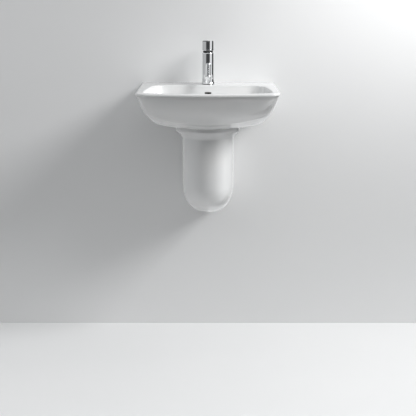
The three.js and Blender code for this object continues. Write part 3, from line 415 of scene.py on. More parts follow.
# a smooth line through a table's rows, read at any height between them
def readTable(table, height):
    keys = [row[0] for row in table]
    height = min(max(height, keys[0]), keys[-1])
    spot = max(k for k in range(len(keys) - 1) if keys[k] <= height or k == 0)
    step = keys[spot + 1] - keys[spot]
    share = (height - keys[spot]) / step
    s2, s3 = share ** 2, share ** 3
    values = []
    for column in range(1, len(table[0])):
        p1, p2 = table[spot][column], table[spot + 1][column]
        slopeIn = slopeOut = p2 - p1
        if spot > 0:
            slopeIn = (p2 - table[spot - 1][column]) / (keys[spot + 1] - keys[spot - 1]) * step
        if spot + 2 < len(table):
            slopeOut = (table[spot + 2][column] - p1) / (keys[spot + 2] - keys[spot]) * step
        values.append(
            (2 * s3 - 3 * s2 + 1) * p1 + (s3 - 2 * s2 + share) * slopeIn
            + (3 * s2 - 2 * s3) * p2 + (s3 - s2) * slopeOut
        )
    return values


# basin: sizes in millimetres, depths measured down from the rim, distances out from the wall
basinSettings = {
    "rim": 80, "height": 145, "width": 500, "depth": 420, "bow": 20, "smoothing": 2, "sharpAngle": 32,
    "slab": 10, "slabInset": 0.5, "slabRound": 7.5, "slabAngles": (0, 25, 50, 70, 90), "slabFlat": 2,
    "rimCorner": 42, "rimCornerDepth": 62, "cornerStretch": 1.25,
    "wasteFromWall": 192, "wasteRadius": 23, "wasteEdge": 3, "weldStep": 0.01,
    # the crease across the front: it runs like a smile, proud on top and hollow below
    "ridge": 4.2, "ridgeWidth": 4.5, "ridgeDepth": 121.5, "ridgeRise": 37.8, "ridgeHalf": 120,
    "ridgeEnd": 3.5, "ridgeStart": 12, "ridgeFade": 60, "ridgeBack": 150, "groove": 2.6, "grooveBelow": 7.5,
    # shares of the way from the waste to the body's foot, and how far the ring lies above the underside
    "underside": ((0.45, 0), (0.93, 0), (0.99, 0.1)),
    "bodyDepths": (
        142.5, 138, 133, 128.5, 125, 121.5, 118, 114, 109, 102, 93, 82, 70, 58, 45, 32, 20, 12,
    ),
    # rings under the slab: how far below it the body is read, how far below it they lie, how far out
    "underSlab": ((0.9, 0.9, 0), (0, 0.1, 0.4)),
    # rings over the bowl's edge: how far out in shares of its round and in millimetres, and how deep
    "bowlRound": 4.5, "bowlEdge": ((1, 1.5, 0), (1, 0, 0.05), (0.3, 0, 1.35), (0, 0, 4.5)),
    "bowlDepths": (10, 18, 30, 42, 54, 66, 78, 90, 101, 110),
    # shares of the way from the bowl's wall to the waste with their depths, then steps round the waste
    "bowlFloor": ((0.1, 116.4), (0.4, 120.6), (0.75, 123.6)), "floorEdge": 13,
    "wasteSteps": ((13, 124.8), (4, 125), (0.8, 125.3), (0, 127), (0, 142)),
    "tapFromWall": 60, "tapHole": 17.5, "tapHoleDepth": 40,
    "overflowRadius": 10.5, "overflowDepth": 35, "overflowReach": (108, 142),
    # half width, back, front, low and high of the faces inside the overflow that take the painted shade
    "duct": (11.7, -126.5, -100, 30, 55.8),
    "hollowSize": (300, 88, 118), "hollowCentre": (0, -56, 9), "hollowRound": 12,
    "mouthSize": (200, 76, 100), "mouthCentre": (0, -50, -60),
    "boltHole": 7.5, "boltX": 100, "boltReach": 20, "holeSteps": 48, "boltSteps": 32,
    # bare clay: slack round the hollow, its lowest height, and where and how tilted the outside is glazed
    "claySlack": 0.5, "clayLow": -65.2, "glazedBelow": -40, "glazedTilt": -0.2,
}
# depth, half width, front distance, share of the half width taken by the corner
basinBody = [
    (7, 247, 417, 0.24), (20, 243.5, 412, 0.25), (34, 239.3, 404.5, 0.26), (48, 235.4, 395.5, 0.28),
    (65, 230, 381.5, 0.31), (82, 223.5, 362.5, 0.345), (98, 216, 340, 0.39), (109, 210.5, 322, 0.42),
    (118, 205, 306, 0.45), (125, 200, 291.5, 0.48), (131, 193, 278.5, 0.515), (137, 181, 267, 0.56),
    (142, 161, 259, 0.64), (145, 122, 254.5, 0.74),
]
# depth, half width, front, back, corner, corner depth, bow, side drop, back corner
basinBowl = [
    (4.5, 220.5, 401, 110, 42, 54, 18, 26, 58), (25, 218, 395, 121, 62, 78, 18, 27, 56),
    (53.8, 208, 377, 132, 84, 104, 18, 26, 52), (81.3, 187, 347, 140, 98, 122, 18, 24, 48),
    (102.5, 155, 312, 148, 98, 120, 16, 20, 44), (117.5, 108, 270, 156, 70, 84, 12, 14, 38),
]


# half an outline from the front centre round the side to the back centre
def softSquare(half, front, back, corner, cornerDepth, bow, sideDrop=0.0, backCorner=3.0):
    frontSteps, cornerSteps, sideSteps, backSteps = 7, 10, 6, 6
    hold, sideEase, backShares = 0.56, 1.6, (0.97, 0.66, 0.33, 0)
    start = half - corner
    points = []
    for k in range(frontSteps + 1):
        x = start * k / frontSteps
        points.append((x, front - bow * (x / start) ** 2))
    frontEnd, sideStart = front - bow, front - cornerDepth
    slope = 2 * bow / start
    handleA = (start + hold * corner, frontEnd - slope * hold * corner)
    handleB = (half, sideStart + hold * (cornerDepth - bow))
    axes = list(zip((start, frontEnd), handleA, handleB, (half, sideStart)))
    for k in range(1, cornerSteps + 1):
        t = k / cornerSteps
        weights = (1 - t) ** 3, 3 * t * (1 - t) ** 2, 3 * t * t * (1 - t), t ** 3
        points.append(tuple(sum(weight * value for weight, value in zip(weights, axis)) for axis in axes))
    sideEnd = back + backCorner
    for k in range(1, sideSteps + 1):
        distance = mixed(sideStart, sideEnd, k / sideSteps)
        drop = sideDrop * max(0, (sideStart - distance) / (sideStart - back)) ** sideEase
        points.append((half - drop, distance))
    cornerX = points[-1][0]
    for k in range(1, backSteps + 1):
        angle = math.pi / 2 * k / backSteps
        points.append((cornerX - backCorner * (1 - math.cos(angle)), sideEnd - backCorner * math.sin(angle)))
    last = points[-1][0]
    return points + [(last * share, back) for share in backShares]


# the whole ring at a depth below the rim, or at a depth that changes round it
def ringFrom(half, depth):
    rim = basinSettings["rim"]
    levels = depth if isinstance(depth, list) else [depth] * len(half)
    right = [(x, -d, rim - z) for (x, d), z in zip(half, levels)]
    return right + [(-x, y, z) for x, y, z in right[-2:0:-1]]


def bodyRing(depth, outset=0.0):
    half, front, cornerShare = readTable(basinBody, depth)
    corner = half * cornerShare
    bow = basinSettings["bow"] * front / basinBody[0][2]
    return softSquare(half + outset, front + outset, 0, corner, corner * basinSettings["cornerStretch"], bow)


def rimRing(inset):
    s = basinSettings
    corner, cornerDepth = s["rimCorner"] - inset, s["rimCornerDepth"] - inset
    return softSquare(s["width"] / 2 - inset, s["depth"] - inset, 0, corner, cornerDepth, s["bow"])


def bowlRing(depth, outset=0.0):
    half, front, back, corner, cornerDepth, bow, sideDrop, backCorner = readTable(basinBowl, depth)
    half, front, back = half + outset, front + outset, back - outset
    return softSquare(half, front, back, corner, cornerDepth, bow, sideDrop, backCorner)


# a ring round the waste with as many points as the outlines have
def wasteRing(outset=0.0):
    s = basinSettings
    radius, middle = s["wasteRadius"] + outset, s["wasteFromWall"]
    last = len(rimRing(0)) - 1
    angles = [math.pi * k / last for k in range(last + 1)]
    return [(radius * math.sin(angle), middle + radius * math.cos(angle)) for angle in angles]


def blended(first, second, share):
    return [(mixed(a[0], b[0], share), mixed(a[1], b[1], share)) for a, b in zip(first, second)]


# body rings rise towards the sides, as the crease across the front does
def bodyLevels():
    s = basinSettings
    rings = []
    crest, start = s["ridgeDepth"], s["ridgeStart"]
    for depth in s["bodyDepths"]:
        near = math.exp(-((depth - crest) / s["ridgeWidth"]) ** 2)
        below = math.exp(-((depth - crest - s["grooveBelow"]) / s["ridgeWidth"]) ** 2)
        pull = min(1, max(0, (depth - start) / s["ridgeFade"]), (s["height"] - depth) / (s["height"] - crest))
        places, levels = [], []
        for number, (x, distance) in enumerate(bodyRing(depth)):
            across = abs(x) / s["ridgeHalf"]
            level = depth - s["ridgeRise"] * (math.sqrt(1 + across ** 2) - 1) * pull
            px, pd = bodyRing(level)[number]
            push = (s["ridge"] * near - s["groove"] * below) * max(0, 1 - across / s["ridgeEnd"])
            places.append((px * (1 + push / s["depth"]), pd + push * min(1, distance / s["ridgeBack"])))
            levels.append(level)
        rings.append(ringFrom(places, levels))
    return rings


# from the waste's lower edge out under the body, up to the slab, over the rim and down the bowl again
def basinRings():
    s = basinSettings
    height, slab, rimRound, bowlRound = s["height"], s["slab"], s["slabRound"], s["bowlRound"]
    lowEdge = ringFrom(wasteRing(), height - s["weldStep"])
    rings = [lowEdge, ringFrom(wasteRing(s["wasteEdge"]), height)]
    foot = bodyRing(height)
    rings += [ringFrom(blended(wasteRing(), foot, share), height - up) for share, up in s["underside"]]
    rings += bodyLevels()
    rings += [ringFrom(bodyRing(slab + place, out), slab + down) for place, down, out in s["underSlab"]]
    rings.append(ringFrom(rimRing(s["slabInset"]), slab))
    for angle in s["slabAngles"]:
        turn = math.radians(angle)
        rings.append(ringFrom(rimRing(rimRound * (1 - math.cos(turn))), rimRound * (1 - math.sin(turn))))
    flat = rimRing(rimRound + s["slabFlat"])
    between = blended(flat, bowlRing(bowlRound, bowlRound + s["slabFlat"]), 0.5)
    rings += [ringFrom(flat, 0), ringFrom(between, 0)]
    for share, more, depth in s["bowlEdge"]:
        rings.append(ringFrom(bowlRing(bowlRound, bowlRound * share + more), depth))
    rings += [ringFrom(bowlRing(depth), depth) for depth in s["bowlDepths"]]
    wall, hole = bowlRing(basinBowl[-1][0]), wasteRing(s["floorEdge"])
    rings += [ringFrom(blended(wall, hole, share), depth) for share, depth in s["bowlFloor"]]
    rings += [ringFrom(wasteRing(out), depth) for out, depth in s["wasteSteps"]]
    return rings + [lowEdge]


# what is cut out: tap hole, overflow, hollow back with its mouth below, and two bolt holes
def basinCutters():
    s = basinSettings
    rim = s["rim"]
    tapHole = tube(0, s["tapHole"], rim - s["tapHoleDepth"], rim + past)
    overflow = turnedSolid(tube(0, s["overflowRadius"], *s["overflowReach"]), steps=s["holeSteps"])
    cutters = [
        turnedSolid(tapHole, (0, -s["tapFromWall"], 0), s["holeSteps"]),
        outwards(overflow, rim - s["overflowDepth"]),
        softBox(s["hollowSize"], s["hollowCentre"], s["hollowRound"]),
        softBox(s["mouthSize"], s["mouthCentre"]),
    ]
    for side in (-1, 1):
        hole = turnedSolid(tube(0, s["boltHole"], -past, s["boltReach"]), steps=s["boltSteps"])
        cutters.append(outwards(hole, 0, side * s["boltX"]))
    return cutters


# which finish a face has: 0 the glaze, 1 bare clay where it faces the wall, 2 the painted shade inside the
# overflow
def basinFinish(face):
    s = basinSettings
    x, y, z = (value / mm for value in face.calc_center_median())
    ductHalf, ductFar, ductNear, ductLow, ductHigh = s["duct"]
    if abs(x) < ductHalf and ductFar < y < ductNear and ductLow < z < ductHigh:
        return 2
    slack = s["claySlack"]
    halfWidth, halfDepth, halfHeight = (size / 2 + slack for size in s["hollowSize"])
    back, high = s["hollowCentre"][1] - halfDepth, s["hollowCentre"][2] + halfHeight
    isHollow = abs(x) < halfWidth and back < y < -slack and s["clayLow"] < z < high
    isUnderside = z < s["glazedBelow"] and face.normal.z < s["glazedTilt"]
    return 1 if y * mm > flatBack or (isHollow and not isUnderside) else 0


def makeBasin():
    s = basinSettings
    body = closeUp(growSkin(bmesh.new(), basinRings()))
    shaped = shapedBmesh(body, s["smoothing"], cutters=basinCutters())
    for face in shaped.faces:
        face.material_index = basinFinish(face)
    return finishPiece("basinShell", shaped, ["basin"], [glaze, clay, ductPaintedShade], s["sharpAngle"])


basinShell = makeBasin()
print("basin made")

# semi pedestal: sizes in millimetres
pedestalSettings = {
    "top": -67, "shaft": 218, "end": 126.3, "half": 93.5, "front": 240, "straight": 145, "turns": 20,
    "endShares": (1, 0.95, 0.86, 0.75, 0.62, 0.48, 0.33, 0.18, 0.05), "shaftShares": (0.05, 0.35, 0.68, 0.95),
    "sideShares": (0, 0.06, 0.35, 0.7), "wall": 10, "smoothing": 2, "sharpAngle": 40,
    "collarHalf": 117, "collarFront": 256.5, "collar": 14, "flare": 23, "thinFront": 0.75,
    "upright": 0.9, "uprightFrom": 0.82,
    # rings of the collar: share of its flare, and height over the lip or over the top
    "outside": {
        "lip": (
            (0.1, -20), (0.28, -15), (0.5, -11), (0.72, -7.5), (0.9, -4.5), (0.99, -1.8), (1, 0.8),
            (0.97, 4.4), (0.92, 7.6),
        ),
        "top": ((0.87, -0.6), (0.85, 1), (0.83, 1.3), (0.77, 1.3), (0.74, 1), (0.72, -0.1)),
    },
    "inside": {
        "lip": (
            (0.06, -20), (0.15, -15), (0.26, -11), (0.38, -7.5), (0.48, -4.5), (0.54, -1.5), (0.55, 2),
            (0.55, 5),
        ),
        "top": ((0.54, -2.5), (0.53, -0.8), (0.53, 0)),
    },
    "lug": (28, 12, 30), "lugRound": 1.5, "lugX": 73.5, "lugZ": -217, "lugHole": 5.5, "boltX": 72.5,
    "boltReach": 20, "boltSteps": 32,
}


# an open outline: along one side, round the front and back along the other side
def shroudRing(half, front, straight, z):
    s = pedestalSettings
    angles = [math.pi * k / s["turns"] for k in range(s["turns"] + 1)]
    right = [(half, straight * share) for share in s["sideShares"]]
    arc = [(half * math.cos(angle), straight + (front - straight) * math.sin(angle)) for angle in angles]
    left = [(-x, distance) for x, distance in reversed(right)]
    return [(x, -distance, z) for x, distance in right + arc + left]


# how far a place is towards the front: 0 along the straight sides, 1 at the front centre
def frontShare(y):
    s = pedestalSettings
    share = min(1, max(0, (-y - s["straight"]) / (s["front"] - s["straight"])))
    return share * share * (3 - 2 * share)


# one side of the shroud's wall, from the rounded end up the shaft and over the collar
def shroudSkin(inset):
    s = pedestalSettings
    top, straight = s["top"], s["straight"]
    shaftEnd, lip = top - s["shaft"], top - s["collar"]
    foot = lip - s["flare"]
    half, front = s["half"] - inset, s["front"] - inset
    rings = []
    for share in s["endShares"]:
        angle = math.pi / 2 * share
        scale, z = math.cos(angle), shaftEnd - (s["end"] - inset) * math.sin(angle)
        rings.append(shroudRing(half * scale, front * scale, straight * scale, z))
    rings += [shroudRing(half, front, straight, mixed(shaftEnd, foot, share)) for share in s["shaftShares"]]
    collar = s["inside"] if inset else s["outside"]
    flares = [(0.0, foot)]
    flares += [(share, lip + up) for share, up in collar["lip"]]
    flares += [(share, top + up) for share, up in collar["top"]]
    moreHalf, moreFront = s["collarHalf"] - s["half"], s["collarFront"] - s["front"]
    for flare, z in flares:
        ring = shroudRing(half + moreHalf * flare, front + moreFront * flare, straight, z)
        wide = shroudRing(half + moreHalf, front + moreFront, straight, z)
        upright = s["upright"] if not inset and lip < z and flare > s["uprightFrom"] else 0.0
        lift = s["thinFront"] * max(0, min(top - z, s["collar"], (z - foot) / 2)) + max(0, min(1, z - top))
        places = []
        for (x, y, z), (wideX, wideY, z) in zip(ring, wide):
            share = frontShare(y)
            outer = upright * share
            places.append((mixed(x, wideX, outer), mixed(y, wideY, outer), z + lift * share))
        rings.append(places)
    return rings


# a lug inside the shroud that a wall bolt goes through
def addLug(bm, side):
    s = pedestalSettings
    lug = softBox(s["lug"], (side * s["lugX"], -s["lug"][1] / 2, s["lugZ"]), s["lugRound"])
    hole = turnedSolid(tube(0, s["lugHole"], -past, s["boltReach"]), steps=s["boltSteps"])
    shaped = shapedBmesh(lug, cutters=[outwards(hole, s["lugZ"], side * s["boltX"])])
    for face in shaped.faces:
        face.material_index = 1
    mesh = bpy.data.meshes.new("lug")
    shaped.to_mesh(mesh)
    shaped.free()
    bm.from_mesh(mesh)
    bpy.data.meshes.remove(mesh)


def makePedestal():
    s = pedestalSettings
    bm = growSkin(bmesh.new(), shroudSkin(0), isOpen=True)
    outside = set(bm.faces)
    growSkin(bm, shroudSkin(s["wall"]), isOpen=True)
    for face in bm.faces:
        face.material_index = 0 if face in outside else 1
    bmesh.ops.remove_doubles(bm, verts=bm.verts[:], dist=weld)
    bmesh.ops.bridge_loops(bm, edges=[edge for edge in bm.edges if edge.is_boundary])
    shaped = shapedBmesh(closeUp(bm), s["smoothing"])
    for face in shaped.faces:
        if face.calc_center_median().y > flatBack:
            face.material_index = 1
    for side in (-1, 1):
        addLug(shaped, side)
    return finishPiece("semiPedestal", shaped, ["pedestal"], [glaze, clay], s["sharpAngle"])


# soft seal under the basin: its section, out from its path and up, in millimetres
sealSettings = {
    "half": 113.3, "front": 255.3, "sharpAngle": 60, "section": [
        (-8, -66.5), (-2, -66.5), (0.1, -66.4), (1.3, -65.7), (1.7, -64.8), (1.3, -63.9), (0.2, -63.4),
        (-1.2, -63.6), (-2.2, -64.9), (-8, -65.4),
    ],
}


def makeSeal():
    s = sealSettings
    straight, section = pedestalSettings["straight"], s["section"]
    rings = [shroudRing(s["half"] + out, s["front"] + out, straight, z) for out, z in section + section[:1]]
    bm = growSkin(bmesh.new(), rings, isOpen=True)
    bmesh.ops.remove_doubles(bm, verts=bm.verts[:], dist=weld)
    bmesh.ops.holes_fill(bm, edges=[edge for edge in bm.edges if edge.is_boundary])
    finishPiece("jointSeal", closeUp(bm), ["pedestal_seal"], [paleRubber], s["sharpAngle"])


semiPedestal = makePedestal()
makeSeal()
print("pedestal made")

# tap: sizes in millimetres, heights measured in the frame
tapSettings = {
    "y": -60, "radius": 20.5, "foot": 86.9, "top": 196, "edge": 4.2, "seatRadius": 15.5, "seatFloor": 160,
    "boreRadius": 14.5, "boreTop": 130, "spoutRadius": 11.5, "spoutStart": 155, "spoutEnd": 109,
    "reach": 99, "endRound": 4, "footRound": 0.4, "nozzleRadius": 10.5, "nozzleReach": 87, "nozzleLow": 91,
    "pocketRadius": 9.1, "pocketDepth": 9.3,
    "fineSteps": 96, "midSteps": 72, "smallSteps": 48, "holeSteps": 32, "sharpAngle": 28,
    # foot ring: how far out and how high its skirt's corners lie, then where it meets the body
    "ringRadius": 24, "ringLow": 82.1, "ringHeight": 4.5, "ringRound": 0.1,
    "skirt": ((0, 0), (0, 0.9), (-1.1, 3.1), (-2.1, 6.5), (-2.8, 11)), "skirtGap": 0.15,
    "skirtEdge": 0.25, "skirtHeight": 16,
    "aeratorGap": 0.3, "aeratorWall": 1.7, "aeratorLow": -0.6, "aeratorHigh": 8.7, "aeratorRound": 0.25,
    "cover": [
        (10.4, 190.2), (15.2, 190.2), (15.2, 196.3), (18.2, 196.3), (18.2, 200.6), (17.2, 201.5),
        (8.5, 201.5), (8.5, 199.9), (10.4, 196.3),
    ],
    "coverRound": 0.3,
}
handleSettings = {
    "low": 203, "height": 35.5, "footRound": 0.6, "edge": 3, "paintedCrown": 2.6, "wall": 2.6, "top": 3,
    "insideRound": 1, "hubRadius": 8, "hubLow": 206, "hubOverlap": 1, "socket": 6.6, "socketDepth": 12.3,
    "screwZ": 212, "screwHole": 2.8, "screwReach": 9, "plugHole": 3.9, "plugDepth": 8, "plugStart": 2,
    "plugEnd": 3, "leverWidth": 24, "leverThickness": 5, "leverReach": 46, "leverLow": 205.5,
    "leverRound": 7, "leverSteps": 8, "leverEdge": 0.9,
}


def makeTapBody():
    s = tapSettings
    y, top, fine, mid = s["y"], s["top"], s["fineSteps"], s["midSteps"]
    column = turnedSolid(softRod(s["radius"], s["foot"], top, s["footRound"], s["edge"]), (0, y, 0), fine)
    start, end = (0, y, s["spoutStart"]), (0, y - s["reach"], s["spoutEnd"])
    spout = softRod(s["spoutRadius"], 0, math.dist(start, end), highRound=s["endRound"], steps=6)
    neck = aimed(turnedSolid(spout, steps=fine), start, end)
    low, nozzleY = s["nozzleLow"], y - s["nozzleReach"]
    axisZ = mixed(s["spoutStart"], s["spoutEnd"], s["nozzleReach"] / s["reach"])
    nozzle = turnedSolid(softRod(s["nozzleRadius"], low, axisZ, lowRound=0.6), (0, nozzleY, 0), mid)
    seat = turnedSolid(softRod(s["seatRadius"], s["seatFloor"], top + past), (0, y, 0), mid)
    bore = turnedSolid(softRod(s["boreRadius"], s["foot"] - past, s["boreTop"]), (0, y, 0), mid)
    pocket = turnedSolid(softRod(s["pocketRadius"], low - past, low + s["pocketDepth"]), (0, nozzleY, 0), mid)
    shaped = shapedBmesh(column, cutters=[seat, bore, pocket], joined=[neck, nozzle])
    finishPiece("tapColumn", shaped, ["tap_body"], [chrome], s["sharpAngle"])


def makeTapTrim():
    s = tapSettings
    y, sharp = s["y"], s["sharpAngle"]
    low, inner = s["ringLow"], s["boreRadius"]
    meet, high, skirtTop = s["radius"] + s["skirtGap"], low + s["ringHeight"], low + s["skirtHeight"]
    outline = [(inner, low)] + [(s["ringRadius"] + out, low + up) for out, up in s["skirt"]]
    outline += [(meet + s["skirtEdge"], skirtTop), (meet, skirtTop), (meet, high), (inner, high)]
    ring = turnedSolid(outline, (0, y, 0), s["fineSteps"], s["ringRound"])
    finishPiece("tapFootRing", ring, ["tap_base_ring"], [chrome], sharp)
    outer, low = s["pocketRadius"] - s["aeratorGap"], s["nozzleLow"]
    outline = tube(outer - s["aeratorWall"], outer, low + s["aeratorLow"], low + s["aeratorHigh"])
    shell = turnedSolid(outline, (0, y - s["nozzleReach"], 0), s["midSteps"], s["aeratorRound"])
    finishPiece("aeratorRing", shell, ["aerator_shell"], [chrome], sharp)
    cover = turnedSolid(s["cover"], (0, y, 0), s["midSteps"], s["coverRound"])
    # the cover takes the near-black painted shade of the gap under the cap
    finishPiece("cartridgeCover", cover, ["cartridge_dome"], [paintedShadeNeck], sharp)


def riseOf(edge):
    return abs(edge.verts[0].co.z - edge.verts[1].co.z)


# the lever's tongue: a flat bar from inside the cap's wall, rounded at its far end
def leverBar():
    tap, s = tapSettings, handleSettings
    start, end = tap["radius"] - s["wall"] / 2, tap["radius"] + s["leverReach"]
    lever = softBox((s["leverWidth"], end - start, s["leverThickness"]), (0, 0, 0))
    corners = [edge for edge in lever.edges if riseOf(edge) > mm and edge.verts[0].co.y < 0]
    roundEdges(lever, corners, s["leverRound"], s["leverSteps"])
    roundEdges(lever, [edge for edge in lever.edges if riseOf(edge) < mm / 100], s["leverEdge"])
    return moved(lever, (0, tap["y"] - (end + start) / 2, s["leverLow"] + s["leverThickness"] / 2))


def makeHandle():
    tap, s = tapSettings, handleSettings
    y, r, low, high = tap["y"], tap["radius"], s["low"], s["low"] + s["height"]
    fine, holes = tap["fineSteps"], tap["holeSteps"]
    ceiling = high - s["top"]
    cap = turnedSolid(softRod(r, low, high, s["footRound"], s["edge"], 6), (0, y, 0), fine)
    inside = softRod(r - s["wall"], low - past, ceiling, highRound=s["insideRound"])
    shell = shapedBmesh(cap, cutters=[turnedSolid(inside, (0, y, 0), fine)], joined=[leverBar()])
    hub = softRod(s["hubRadius"], s["hubLow"], ceiling + s["hubOverlap"], 0.4, 0.2)
    socket = softBox((s["socket"], s["socket"], s["socketDepth"] * 2), (0, y, s["hubLow"]))
    screw = turnedSolid(tube(0, s["screwHole"], 0, s["screwReach"]), steps=holes)
    aimed(screw, (0, y, s["screwZ"]), (0, y + s["screwReach"], s["screwZ"]))
    plug = turnedSolid(tube(0, s["plugHole"], 0, s["plugDepth"]), steps=holes)
    aimed(plug, (0, y + r - s["wall"] - s["plugStart"], s["screwZ"]), (0, y + r + s["plugEnd"], s["screwZ"]))
    hubSolid = turnedSolid(hub, (0, y, 0), tap["smallSteps"])
    shaped = shapedBmesh(shell, cutters=[socket, screw, plug], joined=[hubSolid])
    # faces near the cap's top take the darker chrome, a painted dark reflection along its edge
    for face in shaped.faces:
        face.material_index = 1 if face.calc_center_median().z > (high - s["paintedCrown"]) * mm else 0
    finishPiece("leverCap", shaped, ["handle"], [chrome, paintedShadeChrome], tap["sharpAngle"])


makeTapBody()
makeTapTrim()
makeHandle()
print("tap made")

# waste and bottle trap: radius and height pairs in millimetres round the waste's axis
wasteSettings = {
    "y": -192, "slot": (16, 70, 12), "slotZ": -53, "slotRound": 1, "sharpAngle": 30, "steps": 96,
    "trapSteps": 72,
    "flange": [
        (18, -130.9), (20.9, -130.9), (20.9, -42.9), (30.4, -42.9), (31.3, -42.6), (31.5, -42), (31, -41.5),
        (29.5, -41.1), (27, -40.9), (19.5, -41.1), (18.4, -41.9), (18, -43.2),
    ],
    "plug": [
        (0, -76.6), (3.6, -76.6), (4, -76.2), (4, -40.6), (27.2, -40.6), (27.8, -40.2), (28, -39.6),
        (27.4, -38.8), (24.5, -37.7), (18, -37), (9, -36.7), (0, -36.6),
    ],
    "body": [
        (0, -204.7), (28, -204.7), (28, -198.7), (27, -197.7), (27, -160.7), (28, -159.7), (28, -153.2),
        (27, -150.9), (25, -149.7), (20.5, -149.7), (18.9, -149.2), (18.5, -147.9), (18.5, -137.4),
        (20.5, -137.4), (20.9, -137), (20.9, -134.6), (20.5, -134.2), (0, -134.2),
    ],
    "room": (25, -210, -152.7, 0.2, 1.5), "neck": (15.6, -156, -130, 0.2, 0.2),
    "cup": [
        (0, -261.3), (14, -261.3), (20.5, -260.6), (25.5, -257.5), (27.6, -253), (28, -248), (28, -226.6),
        (29, -224.6), (30, -223.9), (30, -208.3), (29, -207.3), (25, -207.3), (25, -248), (23.5, -254),
        (19, -257.6), (0, -258.3),
    ],
    "inletNut": [
        (18.8, -140.7), (25.8, -140.7), (27, -139.5), (27, -116.4), (25.4, -113.6), (24.4, -111.9),
        (21.2, -111.9), (21.2, -137.7), (18.8, -137.7),
    ],
    "ribs": 16, "ribDepth": 1.1, "ribBand": 2.5, "ribSteps": 128,
}
# outlet, in distances out from the wall; branch and bore: radius, start, end and the ends' rounds
outletSettings = {
    "z": -179.7, "branch": (20, 148, 192, 1, 0.2), "bore": (16.3, 143, 171, 0.2, 0.2),
    "pipe": (14, 16, 0, 160), "pipeRound": 0.3,
    "nut": [
        (16.3, 141.4), (22.6, 141.4), (23.8, 142.6), (23.8, 158.6), (22.4, 160.4), (20.3, 160.4),
        (20.3, 144.4), (16.3, 144.4),
    ],
}


# a nut with finger grips: its outer skin is drawn inwards between the ribs
def ribbedNut(profile):
    s = wasteSettings
    outer = max(radius for radius, height in profile)
    bm = turnedSolid(profile, steps=s["ribSteps"])
    for vert in bm.verts:
        radius = math.hypot(vert.co.x, vert.co.y) / mm
        if radius > outer - s["ribBand"]:
            wave = 0.5 - 0.5 * math.cos(s["ribs"] * math.atan2(vert.co.y, vert.co.x))
            scale = 1 - s["ribDepth"] * wave ** 2 / radius
            vert.co.x *= scale
            vert.co.y *= scale
    return bm


def makeWaste():
    s = wasteSettings
    place = (0, s["y"], 0)
    slot = softBox(s["slot"], (0, s["y"], s["slotZ"]), s["slotRound"])
    flange = shapedBmesh(turnedSolid(s["flange"], place, s["steps"]), cutters=[slot])
    finishPiece("wasteCup", flange, ["waste_flange"], [chrome], s["sharpAngle"])
    plug = turnedSolid(s["plug"], place, s["steps"])
    finishPiece("wastePlug", plug, ["waste_plug"], [chrome], s["sharpAngle"])


def makeTrap():
    s, out = wasteSettings, outletSettings
    place, steps, axis = (0, s["y"], 0), s["trapSteps"], out["z"]
    branch, bore = (outwards(turnedSolid(softRod(*out[name])), axis) for name in ("branch", "bore"))
    room, neck = (turnedSolid(softRod(*s[name]), place) for name in ("room", "neck"))
    body = shapedBmesh(turnedSolid(s["body"], place, steps), cutters=[room, neck, bore], joined=[branch])
    pipe = turnedSolid(tube(*out["pipe"]), soften=out["pipeRound"])
    pieces = {
        "trapBottle": (body, "trap_body"),
        "trapCup": (turnedSolid(s["cup"], place, steps), "trap_cup"),
        "trapInletNut": (moved(ribbedNut(s["inletNut"]), place), "trap_inlet_nut"),
        "trapOutletNut": (outwards(ribbedNut(out["nut"]), axis), "trap_outlet_nut"),
        "outletPipe": (outwards(pipe, axis), "trap_outlet_pipe"),
    }
    for name, (bm, node) in pieces.items():
        finishPiece(name, bm, [node], [whitePlastic], s["sharpAngle"])


makeWaste()
makeTrap()
print("waste and trap made")

# every CAD node that stays gets its finish
for name, node in nodes.items():
    node.data.materials.clear()
    node.data.materials.append(slotMaterials[slotOf[name]])
print("carried nodes finished")

# the room: floor level in millimetres, the rest in metres; the wall is seen from the front only
roomSettings = {
    "floor": -879, "floorWidth": 9, "floorDepth": 1.05,
    "wallY": 0.0006, "wallWidth": 9, "wallHeight": 5,
    "openFrom": -0.396, "openJoin": -0.062, "openTo": 0.076, "openStep": 0.004, "openReach": 0.016,
    # the last entry: heights over which the wall's colour rises from painted shade to painted light
    "basinMargin": 0.008, "shroudMargin": 0.002, "paintedShadeRise": (-0.55, 0.45),
}


def floorMaterial():
    tree = newTree("paleFloor")
    color = tree.mix(tree.noise(scale=3, detail=3), (0.7, 0.705, 0.705), (0.73, 0.73, 0.73))
    return tree.principled(Base_Color=color, Roughness=0.55)


def wallMaterial():
    tree = newTree("paleWall")
    specks = tree.noise(scale=2, detail=3)
    # painted shade and light: the plaster is coloured darker towards the floor and lighter higher up
    low = tree.mix(specks, (0.73, 0.735, 0.735), (0.76, 0.76, 0.76))
    high = tree.mix(specks, (0.91, 0.915, 0.915), (0.94, 0.94, 0.94))
    color = tree.mix(tree.axis("Z", tree.place()).above(*roomSettings["paintedShadeRise"]), low, high)
    plaster = tree.make("ShaderNodeBsdfPrincipled", Base_Color=color, Roughness=0.8)
    clear = tree.make("ShaderNodeBsdfTransparent")
    behind = tree.make("ShaderNodeNewGeometry", output="Backfacing")
    return tree.finishWith(tree.make("ShaderNodeMixShader", n0=behind, n1=plaster, n2=clear))


# half widths and heights of a piece's flat back
def backOf(piece):
    return [(abs(vert.co.x), vert.co.z) for vert in piece.data.vertices if vert.co.y > flatBack]


